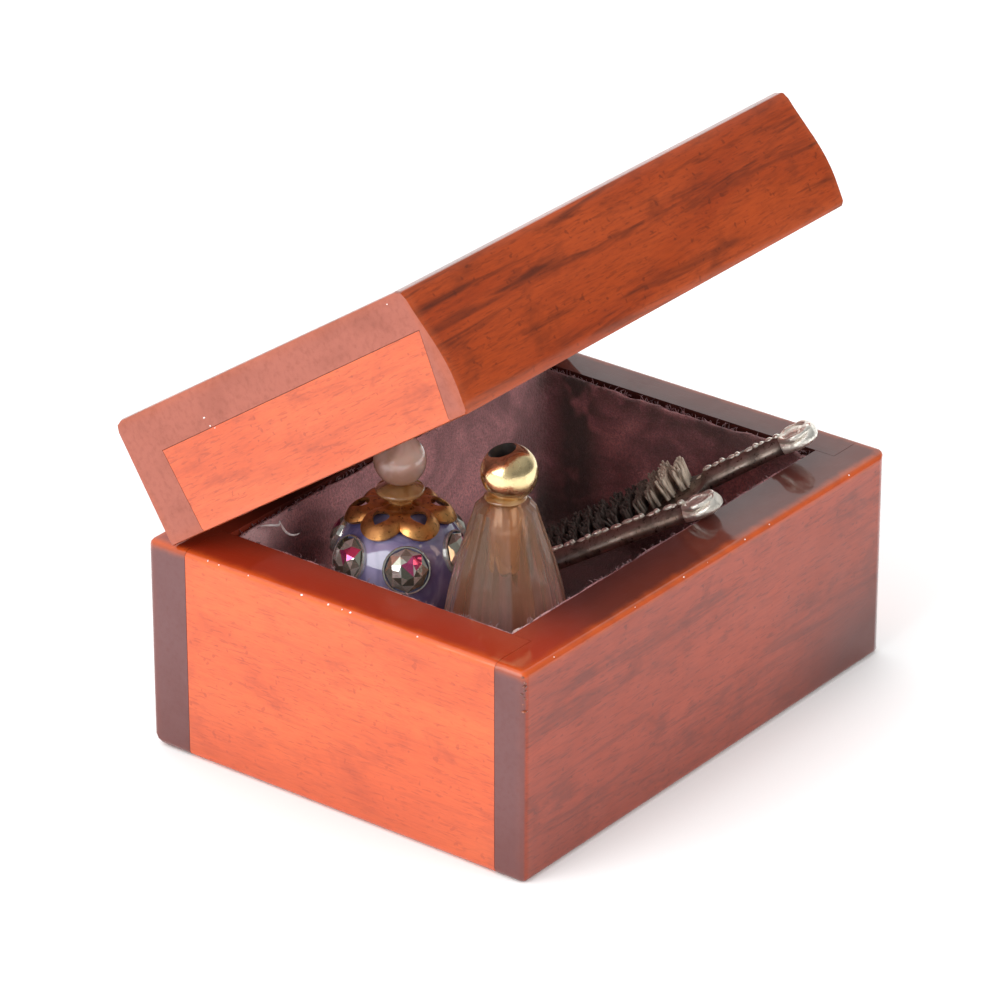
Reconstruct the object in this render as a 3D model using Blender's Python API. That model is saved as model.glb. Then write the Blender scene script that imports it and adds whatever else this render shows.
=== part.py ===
"""Miniature hinged jewellery chest, 1:12 scale, open, with its dressing-table contents.

Blender 4.5 script. Everything is drawn with one unit to the millimetre, which suits the
tolerances of bevels and Booleans, and to_metres() shrinks it at the end.
Frame: +Z up, the front faces -Y, the left end is at -X. The origin is the centre of the
chest's underside. The lid is drawn shut and opened by its hinge empty.
"""
import math

import bmesh
import bpy
from mathutils import Matrix, Vector

MM = 0.001

# Driving dimensions, in millimetres
BODY_W = 25.4            # one inch long
BODY_D = 19.45
BODY_H = 9.53
LEFT_WALL = 2.4          # thickness of the left end board
RIGHT_WALL = 1.95        # the right one is thinner
SIDE_WALL = 2.45         # thickness of the front and back boards
FRONT_LAP = 1.5          # end grain left showing at the front corners
BACK_LAP = 2.0           # end grain left showing at the back corners
BOTTOM_T = 1.6
LINING_T = 0.26
GAP = 0.02               # clearance between pieces that touch

LID_LEFT = -12.8
LID_RIGHT = 12.95
LID_D = 18.58            # depth of the lid's underside
LID_H = 5.58             # height at the back
LID_DROP = 0.12          # how much lower the top is at the front
LID_LEAN = 0.22          # how far the front and back faces lean in at the top
LID_TOP_T = 1.85
LID_BACK_T = 2.15
LID_FRONT_T = 2.5
LID_FRONT_LAP = 1.05     # strip of end grain left at the front, at the bottom
LID_LAP_LEAN = 0.75      # how much narrower that strip is at the top
LID_END_WALL = 2.4
LID_BULGE = 0.3          # how far the front face swells out below half height
LID_BOTTOM = BODY_H + GAP
LID_BACK = 8.345         # the lid's back face, shut; it leaves a ledge behind it
LID_OPEN_DEG = 34.3

HINGE_Y = 8.375
HINGE_Z = 9.55
HINGE_X = 7.0            # centre of each hinge, left and right
HINGE_W = 3.3
KNUCKLE_R = 0.3
BORE_R = 0.15
PIN_R = 0.12
LEAF_T = 0.18
LEAF_SINK = 0.05         # how far the lid's leaves sit below its back face
LEAF_PLAY = 0.03         # room left round a leaf, a knuckle and their pockets
KNUCKLE_PLAY = 0.05      # room left in front of the knuckles
BODY_LEAF_REACH = 0.95   # how far a leaf reaches from the pin, over the ledge
LID_LEAF_REACH = 1.9     # and up the lid's back
NAIL_R = 0.08
NAIL_HEAD_R = 0.17
NAIL_LENGTH = 0.5
NAIL_HOLE = 0.75         # depth of a nail's hole
NAIL_APART = 0.95        # from a hinge's middle to each of its nails
BODY_NAIL_Y = 0.72       # from the pin back to the nails in the ledge
LID_NAIL_Z = 1.4         # from the pin up to the nails in the lid's back

CRYSTAL_AT = (-6.2, -3.785)
CRYSTAL_FLUTES = 16
CRYSTAL_TOP = 12.82
STOPPER_AT = (-6.08, -3.885, 14.02)
STOPPER_R = 1.18
BLUE_AT = (-5.85, 1.915)
BEAD_R = 2.84
BEAD_LOW = 4.1           # the bead is longer below its middle
BEAD_Z = 7.96
GEM_COUNT = 6
GEM_FIRST_DEG = 223.7
GEM_LATITUDE = 22.0      # the stones sit above the bead's equator, tilted up
CAP_LOBES = 6
CAP_TURN_DEG = 7.7
PEARL_R = 1.1

FLOOR_Z = BOTTOM_T + GAP + LINING_T
SMOOTH_ANGLE = math.radians(32)


# ---------------------------------------------------------------- helpers

def clear_scene():
    for obj in list(bpy.data.objects):
        bpy.data.objects.remove(obj, do_unlink=True)


def material(name, color, roughness, metallic=0.0, transmission=0.0):
    mat = bpy.data.materials.new(name)
    mat.use_nodes = True
    shader = mat.node_tree.nodes["Principled BSDF"]
    shader.inputs["Base Color"].default_value = (*color, 1.0)
    shader.inputs["Roughness"].default_value = roughness
    shader.inputs["Metallic"].default_value = metallic
    shader.inputs["Transmission Weight"].default_value = transmission
    return mat


def add_object(name, bm, mat, parent=None, matrix=None):
    """Makes a named object of a mesh; a parent's own place is taken off the points."""
    if matrix is not None:
        bmesh.ops.transform(bm, matrix=matrix, verts=bm.verts)
    if parent:
        bmesh.ops.translate(bm, vec=-parent.location, verts=bm.verts)
    bmesh.ops.recalc_face_normals(bm, faces=bm.faces)
    mesh = bpy.data.meshes.new(name)
    bm.to_mesh(mesh)
    bm.free()
    mesh.materials.append(mat)
    mesh.shade_smooth()
    mesh.set_sharp_from_angle(angle=SMOOTH_ANGLE)
    obj = bpy.data.objects.new(name, mesh)
    bpy.context.scene.collection.objects.link(obj)
    if parent:
        obj.parent = parent
    return obj


def carve(obj, cutters, operation="DIFFERENCE"):
    """Applies exact Booleans to a mesh and removes the solids that cut it."""
    for cutter in cutters:
        modifier = obj.modifiers.new("cut", "BOOLEAN")
        modifier.solver = "EXACT"
        modifier.operation = operation
        modifier.object = cutter
    bpy.context.view_layer.update()
    depsgraph = bpy.context.evaluated_depsgraph_get()
    result = bpy.data.meshes.new_from_object(obj.evaluated_get(depsgraph))
    obj.modifiers.clear()
    old = obj.data
    obj.data = result
    bpy.data.meshes.remove(old)
    result.shade_smooth()
    result.set_sharp_from_angle(angle=SMOOTH_ANGLE)
    for cutter in cutters:
        bpy.data.objects.remove(cutter, do_unlink=True)
    return obj


def box(low, high):
    bm = bmesh.new()
    size = Vector(high) - Vector(low)
    middle = (Vector(high) + Vector(low)) / 2
    place = Matrix.Translation(middle) @ Matrix.Diagonal((*size, 1.0))
    bmesh.ops.create_cube(bm, size=1.0, matrix=place)
    return bm


def turned(profile, sides, closed=False):
    """A solid of revolution about Z from (radius, height) points, bottom to top.

    A closed profile makes a ring; an open one starts and ends on the axis.
    """
    bm = bmesh.new()
    rings = []
    for radius, height in profile:
        if radius <= 0:
            rings.append([bm.verts.new((0.0, 0.0, height))])
            continue
        ring = []
        for side in range(sides):
            turn = 2 * math.pi * side / sides
            ring.append(bm.verts.new((radius * math.cos(turn), radius * math.sin(turn), height)))
        rings.append(ring)
    pairs = list(zip(rings, rings[1:]))
    if closed:
        pairs.append((rings[-1], rings[0]))
    for low, high in pairs:
        bridge(bm, low, high)
    return bm


def bridge(bm, low, high):
    count = max(len(low), len(high))
    for side in range(count):
        after = (side + 1) % count
        if len(low) == 1:
            bm.faces.new((low[0], high[after], high[side]))
        elif len(high) == 1:
            bm.faces.new((low[side], low[after], high[0]))
        else:
            bm.faces.new((low[side], low[after], high[after], high[side]))


def ball_profile(radius, middle, rings, start=-90.0, end=90.0):
    """Points down a sphere's side, from one latitude to another."""
    points = []
    for ring in range(rings + 1):
        latitude = math.radians(start + (end - start) * ring / rings)
        points.append((max(radius * math.cos(latitude), 0.0), middle + radius * math.sin(latitude)))
    if start == -90.0:
        points[0] = (0.0, middle - radius)
    if end == 90.0:
        points[-1] = (0.0, middle + radius)
    return points


def loft(stations, sides):
    """A bar along X through (x, half width, half thickness) stations, with rounded sides."""
    bm = bmesh.new()
    rings = []
    for x, half_width, half_thick in stations:
        ring = []
        for side in range(sides):
            turn = 2 * math.pi * (side + 0.5) / sides
            y = half_width * squared(math.cos(turn))
            z = half_thick * squared(math.sin(turn))
            ring.append(bm.verts.new((x, y, z)))
        rings.append(ring)
    for low, high in zip(rings, rings[1:]):
        bridge(bm, low, high)
    bm.faces.new(rings[0])
    bm.faces.new(rings[-1])
    return bm


def squared(value, power=0.6):
    """Pushes a circle's coordinate outwards, towards a rounded rectangle."""
    return math.copysign(abs(value) ** power, value)


def cylinder_along_x(radius, x0, x1, y, z, sides):
    bm = turned([(0.0, x0), (radius, x0), (radius, x1), (0.0, x1)], sides)
    place = Matrix.Translation((0.0, y, z)) @ Matrix.Rotation(math.pi / 2, 4, "Y")
    bmesh.ops.transform(bm, matrix=place, verts=bm.verts)
    return bm


# ---------------------------------------------------------------- the chest's boards

def edge_radius(middle):
    """How far each of the chest's outer edges is worn or rounded."""
    on_right = middle.x > BODY_W / 2 - 1
    on_front = middle.y < -BODY_D / 2 + 1
    on_back = middle.y > BODY_D / 2 - 1
    underneath = middle.z < 1
    if on_right and on_front:
        return 0.75
    if on_back and underneath:
        return 0.85
    return 0.3


def chest_block(mat):
    """The outside of the chest's body as one block, with its worn and rounded edges."""
    widest = 0.85
    half_w = BODY_W / 2
    half_d = BODY_D / 2
    bm = box((-half_w, -half_d, 0.0), (half_w, half_d, BODY_H))
    weight = bm.edges.layers.float.new("bevel_weight_edge")
    for edge in bm.edges:
        middle = (edge.verts[0].co + edge.verts[1].co) / 2
        edge[weight] = edge_radius(middle) / widest
    block = add_object("block", bm, mat)
    rounding = block.modifiers.new("rounding", "BEVEL")
    rounding.limit_method = "WEIGHT"
    rounding.width = widest
    rounding.segments = 3
    block.modifiers.new("facets", "TRIANGULATE")
    return carve(block, [])


def board(name, mat, pieces):
    """One board: the chest's rounded block kept only inside the given boxes."""
    first, *others = pieces
    keeper = add_object("keeper", box(*first), mat)
    if others:
        carve(keeper, [add_object("more", box(*other), mat) for other in others], "UNION")
    obj = chest_block(mat)
    obj.name = name
    return carve(obj, [keeper], "INTERSECT")


def hinge_gain(x, mat):
    """The shallow pocket in the back board's top for one hinge's leaf and knuckles."""
    wide = HINGE_W / 2 + LEAF_PLAY
    past = 3.0
    low = (x - wide, HINGE_Y - KNUCKLE_R - KNUCKLE_PLAY, HINGE_Z - KNUCKLE_R - LEAF_PLAY)
    high = (x + wide, HINGE_Y + past, BODY_H + past)
    return add_object("gain", box(low, high), mat)


def make_boards(woods):
    wood = woods["red_wood"]
    far = 2.0
    bite = 0.5           # how far a board's two boxes overlap where they join
    half_w = BODY_W / 2
    half_d = BODY_D / 2
    left_x = -half_w + LEFT_WALL
    right_x = half_w - RIGHT_WALL
    inner_y = half_d - SIDE_WALL
    front = [
        ((-half_w - far, -half_d - far, -far), (half_w + far, -half_d + FRONT_LAP, BODY_H + far)),
        ((left_x, -half_d + bite, -far), (right_x, -inner_y, BODY_H + far)),
    ]
    back = [
        ((-half_w - far, half_d - BACK_LAP, -far), (half_w + far, half_d + far, BODY_H + far)),
        ((left_x, inner_y, -far), (right_x, half_d - bite, BODY_H + far)),
    ]
    board("front_board", wood, front)
    back_board = board("back_board", wood, back)
    cutters = [hinge_gain(x, wood) for x in (-HINGE_X, HINGE_X)]
    cutters += [nail_hole(x + dx, wood) for x, dx in nail_places()]
    carve(back_board, cutters)
    ends = {
        "left_end_board": (-half_w - far, left_x - GAP),
        "right_end_board": (right_x + GAP, half_w + far),
    }
    for name, (x0, x1) in ends.items():
        low = (x0, -half_d + FRONT_LAP + GAP, -far)
        high = (x1, half_d - BACK_LAP - GAP, BODY_H + far)
        board(name, woods["orange_wood"], [(low, high)])
    low = (left_x + GAP, -inner_y + GAP, 0.0)
    high = (right_x - GAP, inner_y - GAP, BOTTOM_T)
    bottom = box(low, high)
    bmesh.ops.bevel(bottom, geom=bottom.edges, offset=0.06, segments=1, affect="EDGES")
    add_object("bottom_board", bottom, woods["red_wood"])


def make_linings(mat):
    left_x = -BODY_W / 2 + LEFT_WALL + GAP
    right_x = BODY_W / 2 - RIGHT_WALL - GAP
    inner_y = BODY_D / 2 - SIDE_WALL - GAP
    low_z = BOTTOM_T + GAP
    side_z = FLOOR_Z + GAP
    top_z = BODY_H - 0.2
    add_object("floor_lining", box((left_x, -inner_y, low_z), (right_x, inner_y, FLOOR_Z)), mat)
    for name, side in (("front_lining", -1), ("back_lining", 1)):
        outer = side * inner_y
        inner = side * (inner_y - LINING_T)
        low = (left_x, min(outer, inner), side_z)
        high = (right_x, max(outer, inner), top_z)
        add_object(name, box(low, high), mat)
    reach_y = inner_y - LINING_T - GAP
    for name, x0 in (("left_lining", left_x), ("right_lining", right_x - LINING_T)):
        low = (x0, -reach_y, side_z)
        high = (x0 + LINING_T, reach_y, top_z)
        add_object(name, box(low, high), mat)


# ---------------------------------------------------------------- the lid

def lid_section():
    """The lid's outline in (y, z), shut: leaning ends, a sloping top and a swelling front."""
    corner = 0.45
    under_corner = 0.15
    back_top = Vector((LID_BACK - LID_LEAN, LID_BOTTOM + LID_H))
    front_low = Vector((LID_BACK - LID_D, LID_BOTTOM))
    front_top = front_low + Vector((LID_LEAN, LID_H - LID_DROP))
    points = [(LID_BACK, LID_BOTTOM)]
    points += rounded(Vector(points[0]), back_top, front_top, corner)
    points += rounded(back_top, front_top, front_low, corner)
    steps = 10
    for step in range(1, steps):
        along = step / steps
        swell = LID_BULGE * math.sin(math.pi * along ** 1.35)
        point = front_top.lerp(front_low, 0.08 + 0.88 * along)
        points.append((point.x - swell, point.y))
    points.append((front_low.x, front_low.y + under_corner))
    points.append((front_low.x + under_corner, front_low.y))
    return points


def rounded(before, corner, after, radius):
    """Three points that ease a corner between its two neighbours."""
    start = corner + (before - corner).normalized() * radius
    end = corner + (after - corner).normalized() * radius
    middle = corner.lerp((start + end) / 2, 0.55)
    return [tuple(start), tuple(middle), tuple(end)]


def lid_block():
    """The whole outside of the lid: the section carried along X, its edges eased."""
    bm = bmesh.new()
    ring = [bm.verts.new((LID_LEFT, y, z)) for y, z in lid_section()]
    far_ring = [bm.verts.new((LID_RIGHT, y, z)) for y, z in lid_section()]
    bridge(bm, ring, far_ring)
    ends = [bm.faces.new(ring), bm.faces.new(far_ring)]
    bmesh.ops.recalc_face_normals(bm, faces=bm.faces)
    edges = {edge for face in ends for edge in face.edges}
    bmesh.ops.bevel(bm, geom=list(edges), offset=0.16, segments=2, profile=0.5, affect="EDGES")
    return bm


def lid_hollow():
    """The boxes cut from the lid: the room inside, and the wider laps at its ends."""
    left_x = LID_LEFT + LID_END_WALL
    right_x = LID_RIGHT - LID_END_WALL
    front = LID_BACK - LID_D
    low_z = LID_BOTTOM - 1
    top = LID_BOTTOM + LID_H - LID_TOP_T
    back = LID_BACK - LID_BACK_T
    lap = front + LID_FRONT_LAP
    room = ((left_x, front + LID_FRONT_T, low_z), (right_x, back, top))
    left_lap = ((LID_LEFT - 2, lap, low_z), (left_x, back, top))
    right_lap = ((right_x, lap, low_z), (LID_RIGHT + 2, back, top))
    return room, left_lap, right_lap


def lap_block(low, high):
    """A box whose front side leans forward towards its top."""
    bm = box(low, high)
    for vert in bm.verts:
        if vert.co.y < 0:
            vert.co.y -= LID_LAP_LEAN * (vert.co.z - LID_BOTTOM) / (LID_H - LID_TOP_T)
    return bm


def lid_gain(x, mat, lid):
    """The pocket in the lid's back face for one hinge's leaf and knuckle."""
    wide = HINGE_W / 2 + LEAF_PLAY
    past = LID_BACK + 2.0
    front = HINGE_Y - KNUCKLE_R - KNUCKLE_PLAY
    knuckle = box((x - wide, front, LID_BOTTOM - 1.0),
                  (x + wide, past, HINGE_Z + KNUCKLE_R + KNUCKLE_PLAY))
    leaf_y = LID_BACK - LEAF_SINK - LEAF_T - GAP
    leaf = box((x - wide, leaf_y, HINGE_Z + KNUCKLE_R),
               (x + wide, past, HINGE_Z + LID_LEAF_REACH + LEAF_PLAY))
    return [add_object("gain", part, mat, lid) for part in (knuckle, leaf)]


def make_lid(lid, woods):
    room, left_lap, right_lap = lid_hollow()
    wood = woods["lid_wood"]
    end_wood = woods["lid_end_wood"]
    shell = add_object("lid_shell", lid_block(), wood, lid)
    cutters = [add_object("cutter", box(*room), wood, lid)]
    cutters += [add_object("cutter", lap_block(*lap), wood, lid) for lap in (left_lap, right_lap)]
    for x in (-HINGE_X, HINGE_X):
        cutters += lid_gain(x, wood, lid)
    cutters += [lid_nail_hole(x + dx, wood, lid) for x, dx in nail_places()]
    carve(shell, cutters)
    joint = Vector((GAP, GAP, 0.0))
    for name, (low, high) in (("lid_left_end", left_lap), ("lid_right_end", right_lap)):
        keeper = lap_block(Vector(low) + joint, Vector(high) - Vector((GAP, GAP, GAP)))
        end = add_object(name, lid_block(), end_wood, lid)
        carve(end, [add_object("keeper", keeper, end_wood, lid)], "INTERSECT")


def make_lid_linings(lid, mat):
    (low, high), _left_lap, _right_lap = lid_hollow()
    x0 = low[0] + GAP
    x1 = high[0] - GAP
    y0 = low[1] + GAP
    y1 = high[1] - GAP
    top = high[2] - GAP
    edge_z = LID_BOTTOM + 0.2
    under = top - LINING_T
    side_top = under - GAP
    add_object("lid_top_lining", box((x0, y0, under), (x1, y1, top)), mat, lid)
    add_object("lid_front_lining", box((x0, y0, edge_z), (x1, y0 + LINING_T, side_top)), mat, lid)
    add_object("lid_back_lining", box((x0, y1 - LINING_T, edge_z), (x1, y1, side_top)), mat, lid)
    near = y0 + LINING_T + GAP
    far = y1 - LINING_T - GAP
    add_object("lid_left_lining", box((x0, near, edge_z), (x0 + LINING_T, far, side_top)), mat, lid)
    add_object("lid_right_lining", box((x1 - LINING_T, near, edge_z), (x1, far, side_top)), mat, lid)


# ---------------------------------------------------------------- hinges and nails

def nail_places():
    return [(x, dx) for x in (-HINGE_X, HINGE_X) for dx in (-NAIL_APART, NAIL_APART)]


def nail_hole_mesh():
    radius = NAIL_R + GAP
    return turned([(0.0, -NAIL_HOLE), (radius, -NAIL_HOLE), (radius, 1.0), (0.0, 1.0)], 12)


def nail_hole(x, mat):
    place = Matrix.Translation((x, HINGE_Y + BODY_NAIL_Y, BODY_H))
    return add_object("hole", nail_hole_mesh(), mat, None, place)


def lid_nail_place(x, depth):
    """Where a nail enters the lid's back face: its length runs forward into the lid."""
    turn = Matrix.Rotation(-math.pi / 2, 4, "X")
    return Matrix.Translation((x, depth, HINGE_Z + LID_NAIL_Z)) @ turn


def lid_nail_hole(x, mat, lid):
    return add_object("hole", nail_hole_mesh(), mat, lid, lid_nail_place(x, LID_BACK))


def nail_mesh(length):
    """A round-headed escutcheon pin, its head's underside at z = 0."""
    head = [(NAIL_HEAD_R, 0.01), (NAIL_HEAD_R * 0.93, 0.05), (NAIL_HEAD_R * 0.6, 0.09)]
    shank = [(0.0, -length), (NAIL_R * 0.4, -length + 0.04), (NAIL_R, -length + 0.16),
             (NAIL_R, 0.01)]
    return turned(shank + head + [(0.0, 0.105)], 12)


def leaf_plate(mat, parent, place):
    """A hinge leaf lying flat: X along the pin, Y away from it, the underside at z = 0.

    Tabs at its ends, or one in the middle, reach in under the knuckles.
    """
    half = HINGE_W / 2
    sixth = HINGE_W / 6
    clear = KNUCKLE_R + LEAF_PLAY
    if parent is None:
        far = BODY_LEAF_REACH
        outline = [(-half, 0.0), (-sixth, 0.0), (-sixth, clear), (sixth, clear), (sixth, 0.0),
                   (half, 0.0)]
    else:
        far = LID_LEAF_REACH
        tab = sixth - LEAF_PLAY
        outline = [(-half, clear), (-tab, clear), (-tab, 0.0), (tab, 0.0), (tab, clear),
                   (half, clear)]
    outline += [(half, far), (-half, far)]
    bm = bmesh.new()
    low = [bm.verts.new((x, y, 0.0)) for x, y in outline]
    high = [bm.verts.new((x, y, LEAF_T)) for x, y in outline]
    bridge(bm, low, high)
    bm.faces.new(low)
    bm.faces.new(high)
    return add_object("leaf", bm, mat, parent, place)


def finish_leaf(leaf, name, x, spans, mat, parent, nail_holes):
    """Adds the leaf's knuckles, bores them for the pin and drills the nail holes."""
    axis = (HINGE_Y, HINGE_Z)
    barrels = []
    for start, end in spans:
        barrel = cylinder_along_x(KNUCKLE_R, x + start, x + end, *axis, 20)
        barrels.append(add_object("barrel", barrel, mat, parent))
    carve(leaf, barrels, "UNION")
    bore = cylinder_along_x(BORE_R, x - HINGE_W, x + HINGE_W, *axis, 20)
    carve(leaf, [add_object("bore", bore, mat, parent)] + nail_holes)
    leaf.name = name


def make_hinge(side_name, x, brass, lid):
    half = HINGE_W / 2
    sixth = HINGE_W / 6
    body_low = HINGE_Z - KNUCKLE_R + LEAF_PLAY
    body_high = body_low + LEAF_T
    leaf = leaf_plate(brass, None, Matrix.Translation((x, HINGE_Y, body_low)))
    holes = [nail_hole(x + dx, brass) for dx in (-NAIL_APART, NAIL_APART)]
    spans = [(-half + GAP, -sixth - GAP / 2), (sixth + GAP / 2, half - GAP)]
    finish_leaf(leaf, f"hinge_body_leaf_{side_name}", x, spans, brass, None, holes)

    face = LID_BACK - LEAF_SINK
    stand = Matrix.Translation((x, face, HINGE_Z)) @ Matrix.Rotation(math.pi / 2, 4, "X")
    leaf = leaf_plate(brass, lid, stand)
    holes = [lid_nail_hole(x + dx, brass, lid) for dx in (-NAIL_APART, NAIL_APART)]
    spans = [(-sixth + 2 * GAP, sixth - 2 * GAP)]
    finish_leaf(leaf, f"hinge_lid_leaf_{side_name}", x, spans, brass, lid, holes)

    pin = cylinder_along_x(PIN_R, x - half - GAP, x + half + GAP, HINGE_Y, HINGE_Z, 20)
    add_object(f"hinge_pin_{side_name}", pin, brass)
    for number, dx in enumerate((-NAIL_APART, NAIL_APART), 1):
        place = Matrix.Translation((x + dx, HINGE_Y + BODY_NAIL_Y, body_high))
        add_object(f"body_nail_{side_name}_{number}", nail_mesh(NAIL_LENGTH), brass, None, place)
        place = lid_nail_place(x + dx, face)
        add_object(f"lid_nail_{side_name}_{number}", nail_mesh(NAIL_LENGTH), brass, lid, place)


# ---------------------------------------------------------------- the scent bottles

def crystal_radius(height):
    """The fluted bottle's outline: a narrow neck flaring into a bell."""
    neck_z = 12.9
    drop = neck_z - height
    return 3.05 - 1.85 * math.exp(-((drop / 4.1) ** 1.35))


def make_crystal_bottle(mat, gold):
    bm = bmesh.new()
    rings = []
    levels = 12
    base = FLOOR_Z + GAP
    points = CRYSTAL_FLUTES * 2
    groove = 0.93        # how deep the hollow of a flute reaches, against its ridge
    for level in range(levels + 1):
        height = base + (CRYSTAL_TOP - base) * level / levels
        radius = crystal_radius(height)
        ring = []
        for point in range(points):
            turn = 2 * math.pi * point / points
            reach = radius * (1.0 if point % 2 else groove)
            x = CRYSTAL_AT[0] + reach * math.cos(turn)
            y = CRYSTAL_AT[1] + reach * math.sin(turn)
            ring.append(bm.verts.new((x, y, height)))
        rings.append(ring)
    for low, high in zip(rings, rings[1:]):
        bridge(bm, low, high)
    bm.faces.new(rings[0])
    bm.faces.new(rings[-1])
    add_object("crystal_bottle", bm, mat)
    stopper = turned(ball_profile(STOPPER_R, 0.0, 12), 24)
    add_object("gold_ball_stopper", stopper, gold, None, Matrix.Translation(STOPPER_AT))


def blue_profile():
    """An egg-shaped glass bead: round above its equator, longer below."""
    points = []
    steps = 14
    for step in range(steps + 1):
        latitude = math.radians(-90 + 180 * step / steps)
        height = BEAD_Z + (BEAD_R if latitude > 0 else BEAD_LOW) * math.sin(latitude)
        points.append((BEAD_R * math.cos(latitude), height))
    points[0] = (0.0, BEAD_Z - BEAD_LOW)
    points[-1] = (0.0, BEAD_Z + BEAD_R)
    return points


def make_blue_bottle(mats):
    place = Matrix.Translation((*BLUE_AT, 0.0))
    bead = add_object("blue_bottle", turned(blue_profile(), 28), mats["blue_glass"], None, place)
    seats = []
    for number in range(GEM_COUNT):
        seat = gem_mesh(0.03)
        seats.append(add_object("seat", seat, mats["blue_glass"], None, gem_place(number)))
    foot_low = FLOOR_Z + GAP
    foot = [(0.0, foot_low), (1.55, foot_low), (1.6, foot_low + 0.25), (0.95, foot_low + 0.7),
            (0.8, foot_low + 1.3), (1.5, foot_low + 2.25), (1.3, foot_low + 2.5),
            (0.0, foot_low + 2.5)]
    foot_obj = add_object("bottle_foot", turned(foot, 24), mats["gold"], None, place)
    cup = turned([(radius * 1.01, height - 0.03) for radius, height in blue_profile()], 28)
    carve(foot_obj, [add_object("cup", cup, mats["gold"], None, place)])
    carve(bead, seats)
    for number in range(GEM_COUNT):
        name = f"rhinestone_{number + 1}"
        add_object(name, gem_mesh(0.0), mats["rhinestone"], None, gem_place(number))
    make_cap(mats["gold"], place)
    collar = BEAD_Z + BEAD_R + 0.32
    neck = [(0.0, collar - 0.3), (0.5, collar - 0.3), (0.55, collar), (0.8, collar),
            (1.0, collar + 0.3), (0.95, collar + 0.52), (0.0, collar + 0.52)]
    add_object("bottle_neck", turned(neck, 20), mats["gold"], None, place)
    pearl = turned(ball_profile(PEARL_R, collar + 1.64, 12), 24)
    add_object("pearl_stopper", pearl, mats["pearl"], None, place)


def gem_mesh(grow):
    """A foil-backed rhinestone: a low cone behind, a flat table in front, axis along +Z."""
    girdle = 0.98 + grow
    profile = [(0.0, -0.32 - grow), (girdle, -0.02 - grow), (girdle, 0.08), (0.6, 0.3 + grow),
               (0.0, 0.3 + grow)]
    return turned(profile, 12)


def gem_place(number):
    turn = math.radians(GEM_FIRST_DEG + 360.0 * number / GEM_COUNT)
    rise = math.radians(GEM_LATITUDE)
    out = Vector((math.cos(turn) * math.cos(rise), math.sin(turn) * math.cos(rise), math.sin(rise)))
    spin = out.to_track_quat("Z", "Y").to_matrix().to_4x4()
    middle = Vector((*BLUE_AT, BEAD_Z)) + out * (BEAD_R - 0.02)
    return Matrix.Translation(middle) @ spin


def make_cap(mat, place):
    """The pierced metal cap on the bead: a thin dome with a scalloped lower edge."""
    points = CAP_LOBES * 6
    inner_r = BEAD_R + 0.04
    outer_r = BEAD_R + 0.2
    bm = bmesh.new()
    rings = []
    levels = 5
    for radius in (inner_r, outer_r):
        for level in range(levels + 1):
            ring = []
            for point in range(points):
                turn = 2 * math.pi * point / points
                lobe = abs(math.cos(CAP_LOBES * turn / 2))
                edge = math.radians(57 - 11 * lobe)
                top = math.radians(78)
                along = level / levels if radius == inner_r else 1 - level / levels
                latitude = edge + (top - edge) * along
                reach = radius * math.cos(latitude)
                height = BEAD_Z + radius * math.sin(latitude)
                ring.append(bm.verts.new((reach * math.cos(turn), reach * math.sin(turn), height)))
            rings.append(ring)
    for low, high in zip(rings, rings[1:] + rings[:1]):
        bridge(bm, low, high)
    turned_place = place @ Matrix.Rotation(math.radians(CAP_TURN_DEG), 4, "Z")
    add_object("filigree_cap", bm, mat, None, turned_place)


# ---------------------------------------------------------------- mirror and brush

def tool_frame(tip, heading_deg, fall_deg):
    """Local X runs from a handle's tip towards its head, Z out of its upper face."""
    heading = math.radians(180 - heading_deg)
    fall = math.radians(fall_deg)
    ahead = Vector((math.cos(heading), math.sin(heading), 0.0))
    along = ahead * math.cos(fall) - Vector((0.0, 0.0, math.sin(fall)))
    across = Vector((-ahead.y, ahead.x, 0.0))
    face = along.cross(across)
    turn = Matrix((along, across, face)).transposed().to_4x4()
    return Matrix.Translation(tip) @ turn


MIRROR_FRAME = tool_frame((3.15, -7.68, 10.22), 72.0, 29.5)
MIRROR_HEAD_AT = 13.9
MIRROR_HEAD_R = (2.1, 1.85)
BRUSH_FRAME = tool_frame((10.03, -7.71, 10.85), 60.0, 30.5)
BRUSH_LENGTH = 16.3


def make_mirror(mats):
    thick = 0.3
    handle = [(0.0, 0.4, 0.2), (0.25, 0.66, thick), (0.8, 0.75, 0.33), (1.35, 0.66, thick),
              (1.7, 0.5, 0.28), (3.5, 0.5, thick), (7.5, 0.55, thick), (10.0, 0.62, thick),
              (11.1, 0.5, thick), (12.6, 0.5, thick)]
    frame = add_object("mirror_frame", loft(handle, 12), mats["silver"], None, MIRROR_FRAME)
    rim_x, rim_y = MIRROR_HEAD_R
    rim_top = thick + 0.05
    rim = [(0.0, -thick), (0.94, -thick), (1.0, -0.1), (1.0, 0.12), (0.93, rim_top), (0.0, rim_top)]
    disc = turned(rim, 32)
    oval = Matrix.Translation((MIRROR_HEAD_AT, 0.0, 0.0)) @ Matrix.Diagonal((rim_x, rim_y, 1.0, 1.0))
    carve(frame, [add_object("disc", disc, mats["silver"], None, MIRROR_FRAME @ oval)], "UNION")
    recess = turned([(0.0, 0.02), (0.8, 0.02), (0.8, 1.0), (0.0, 1.0)], 32)
    carve(frame, [add_object("recess", recess, mats["silver"], None, MIRROR_FRAME @ oval)])
    glass = turned([(0.0, 0.04), (0.785, 0.04), (0.785, 0.2), (0.74, 0.24), (0.0, 0.24)], 32)
    add_object("mirror_glass", glass, mats["mirror"], None, MIRROR_FRAME @ oval)


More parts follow.
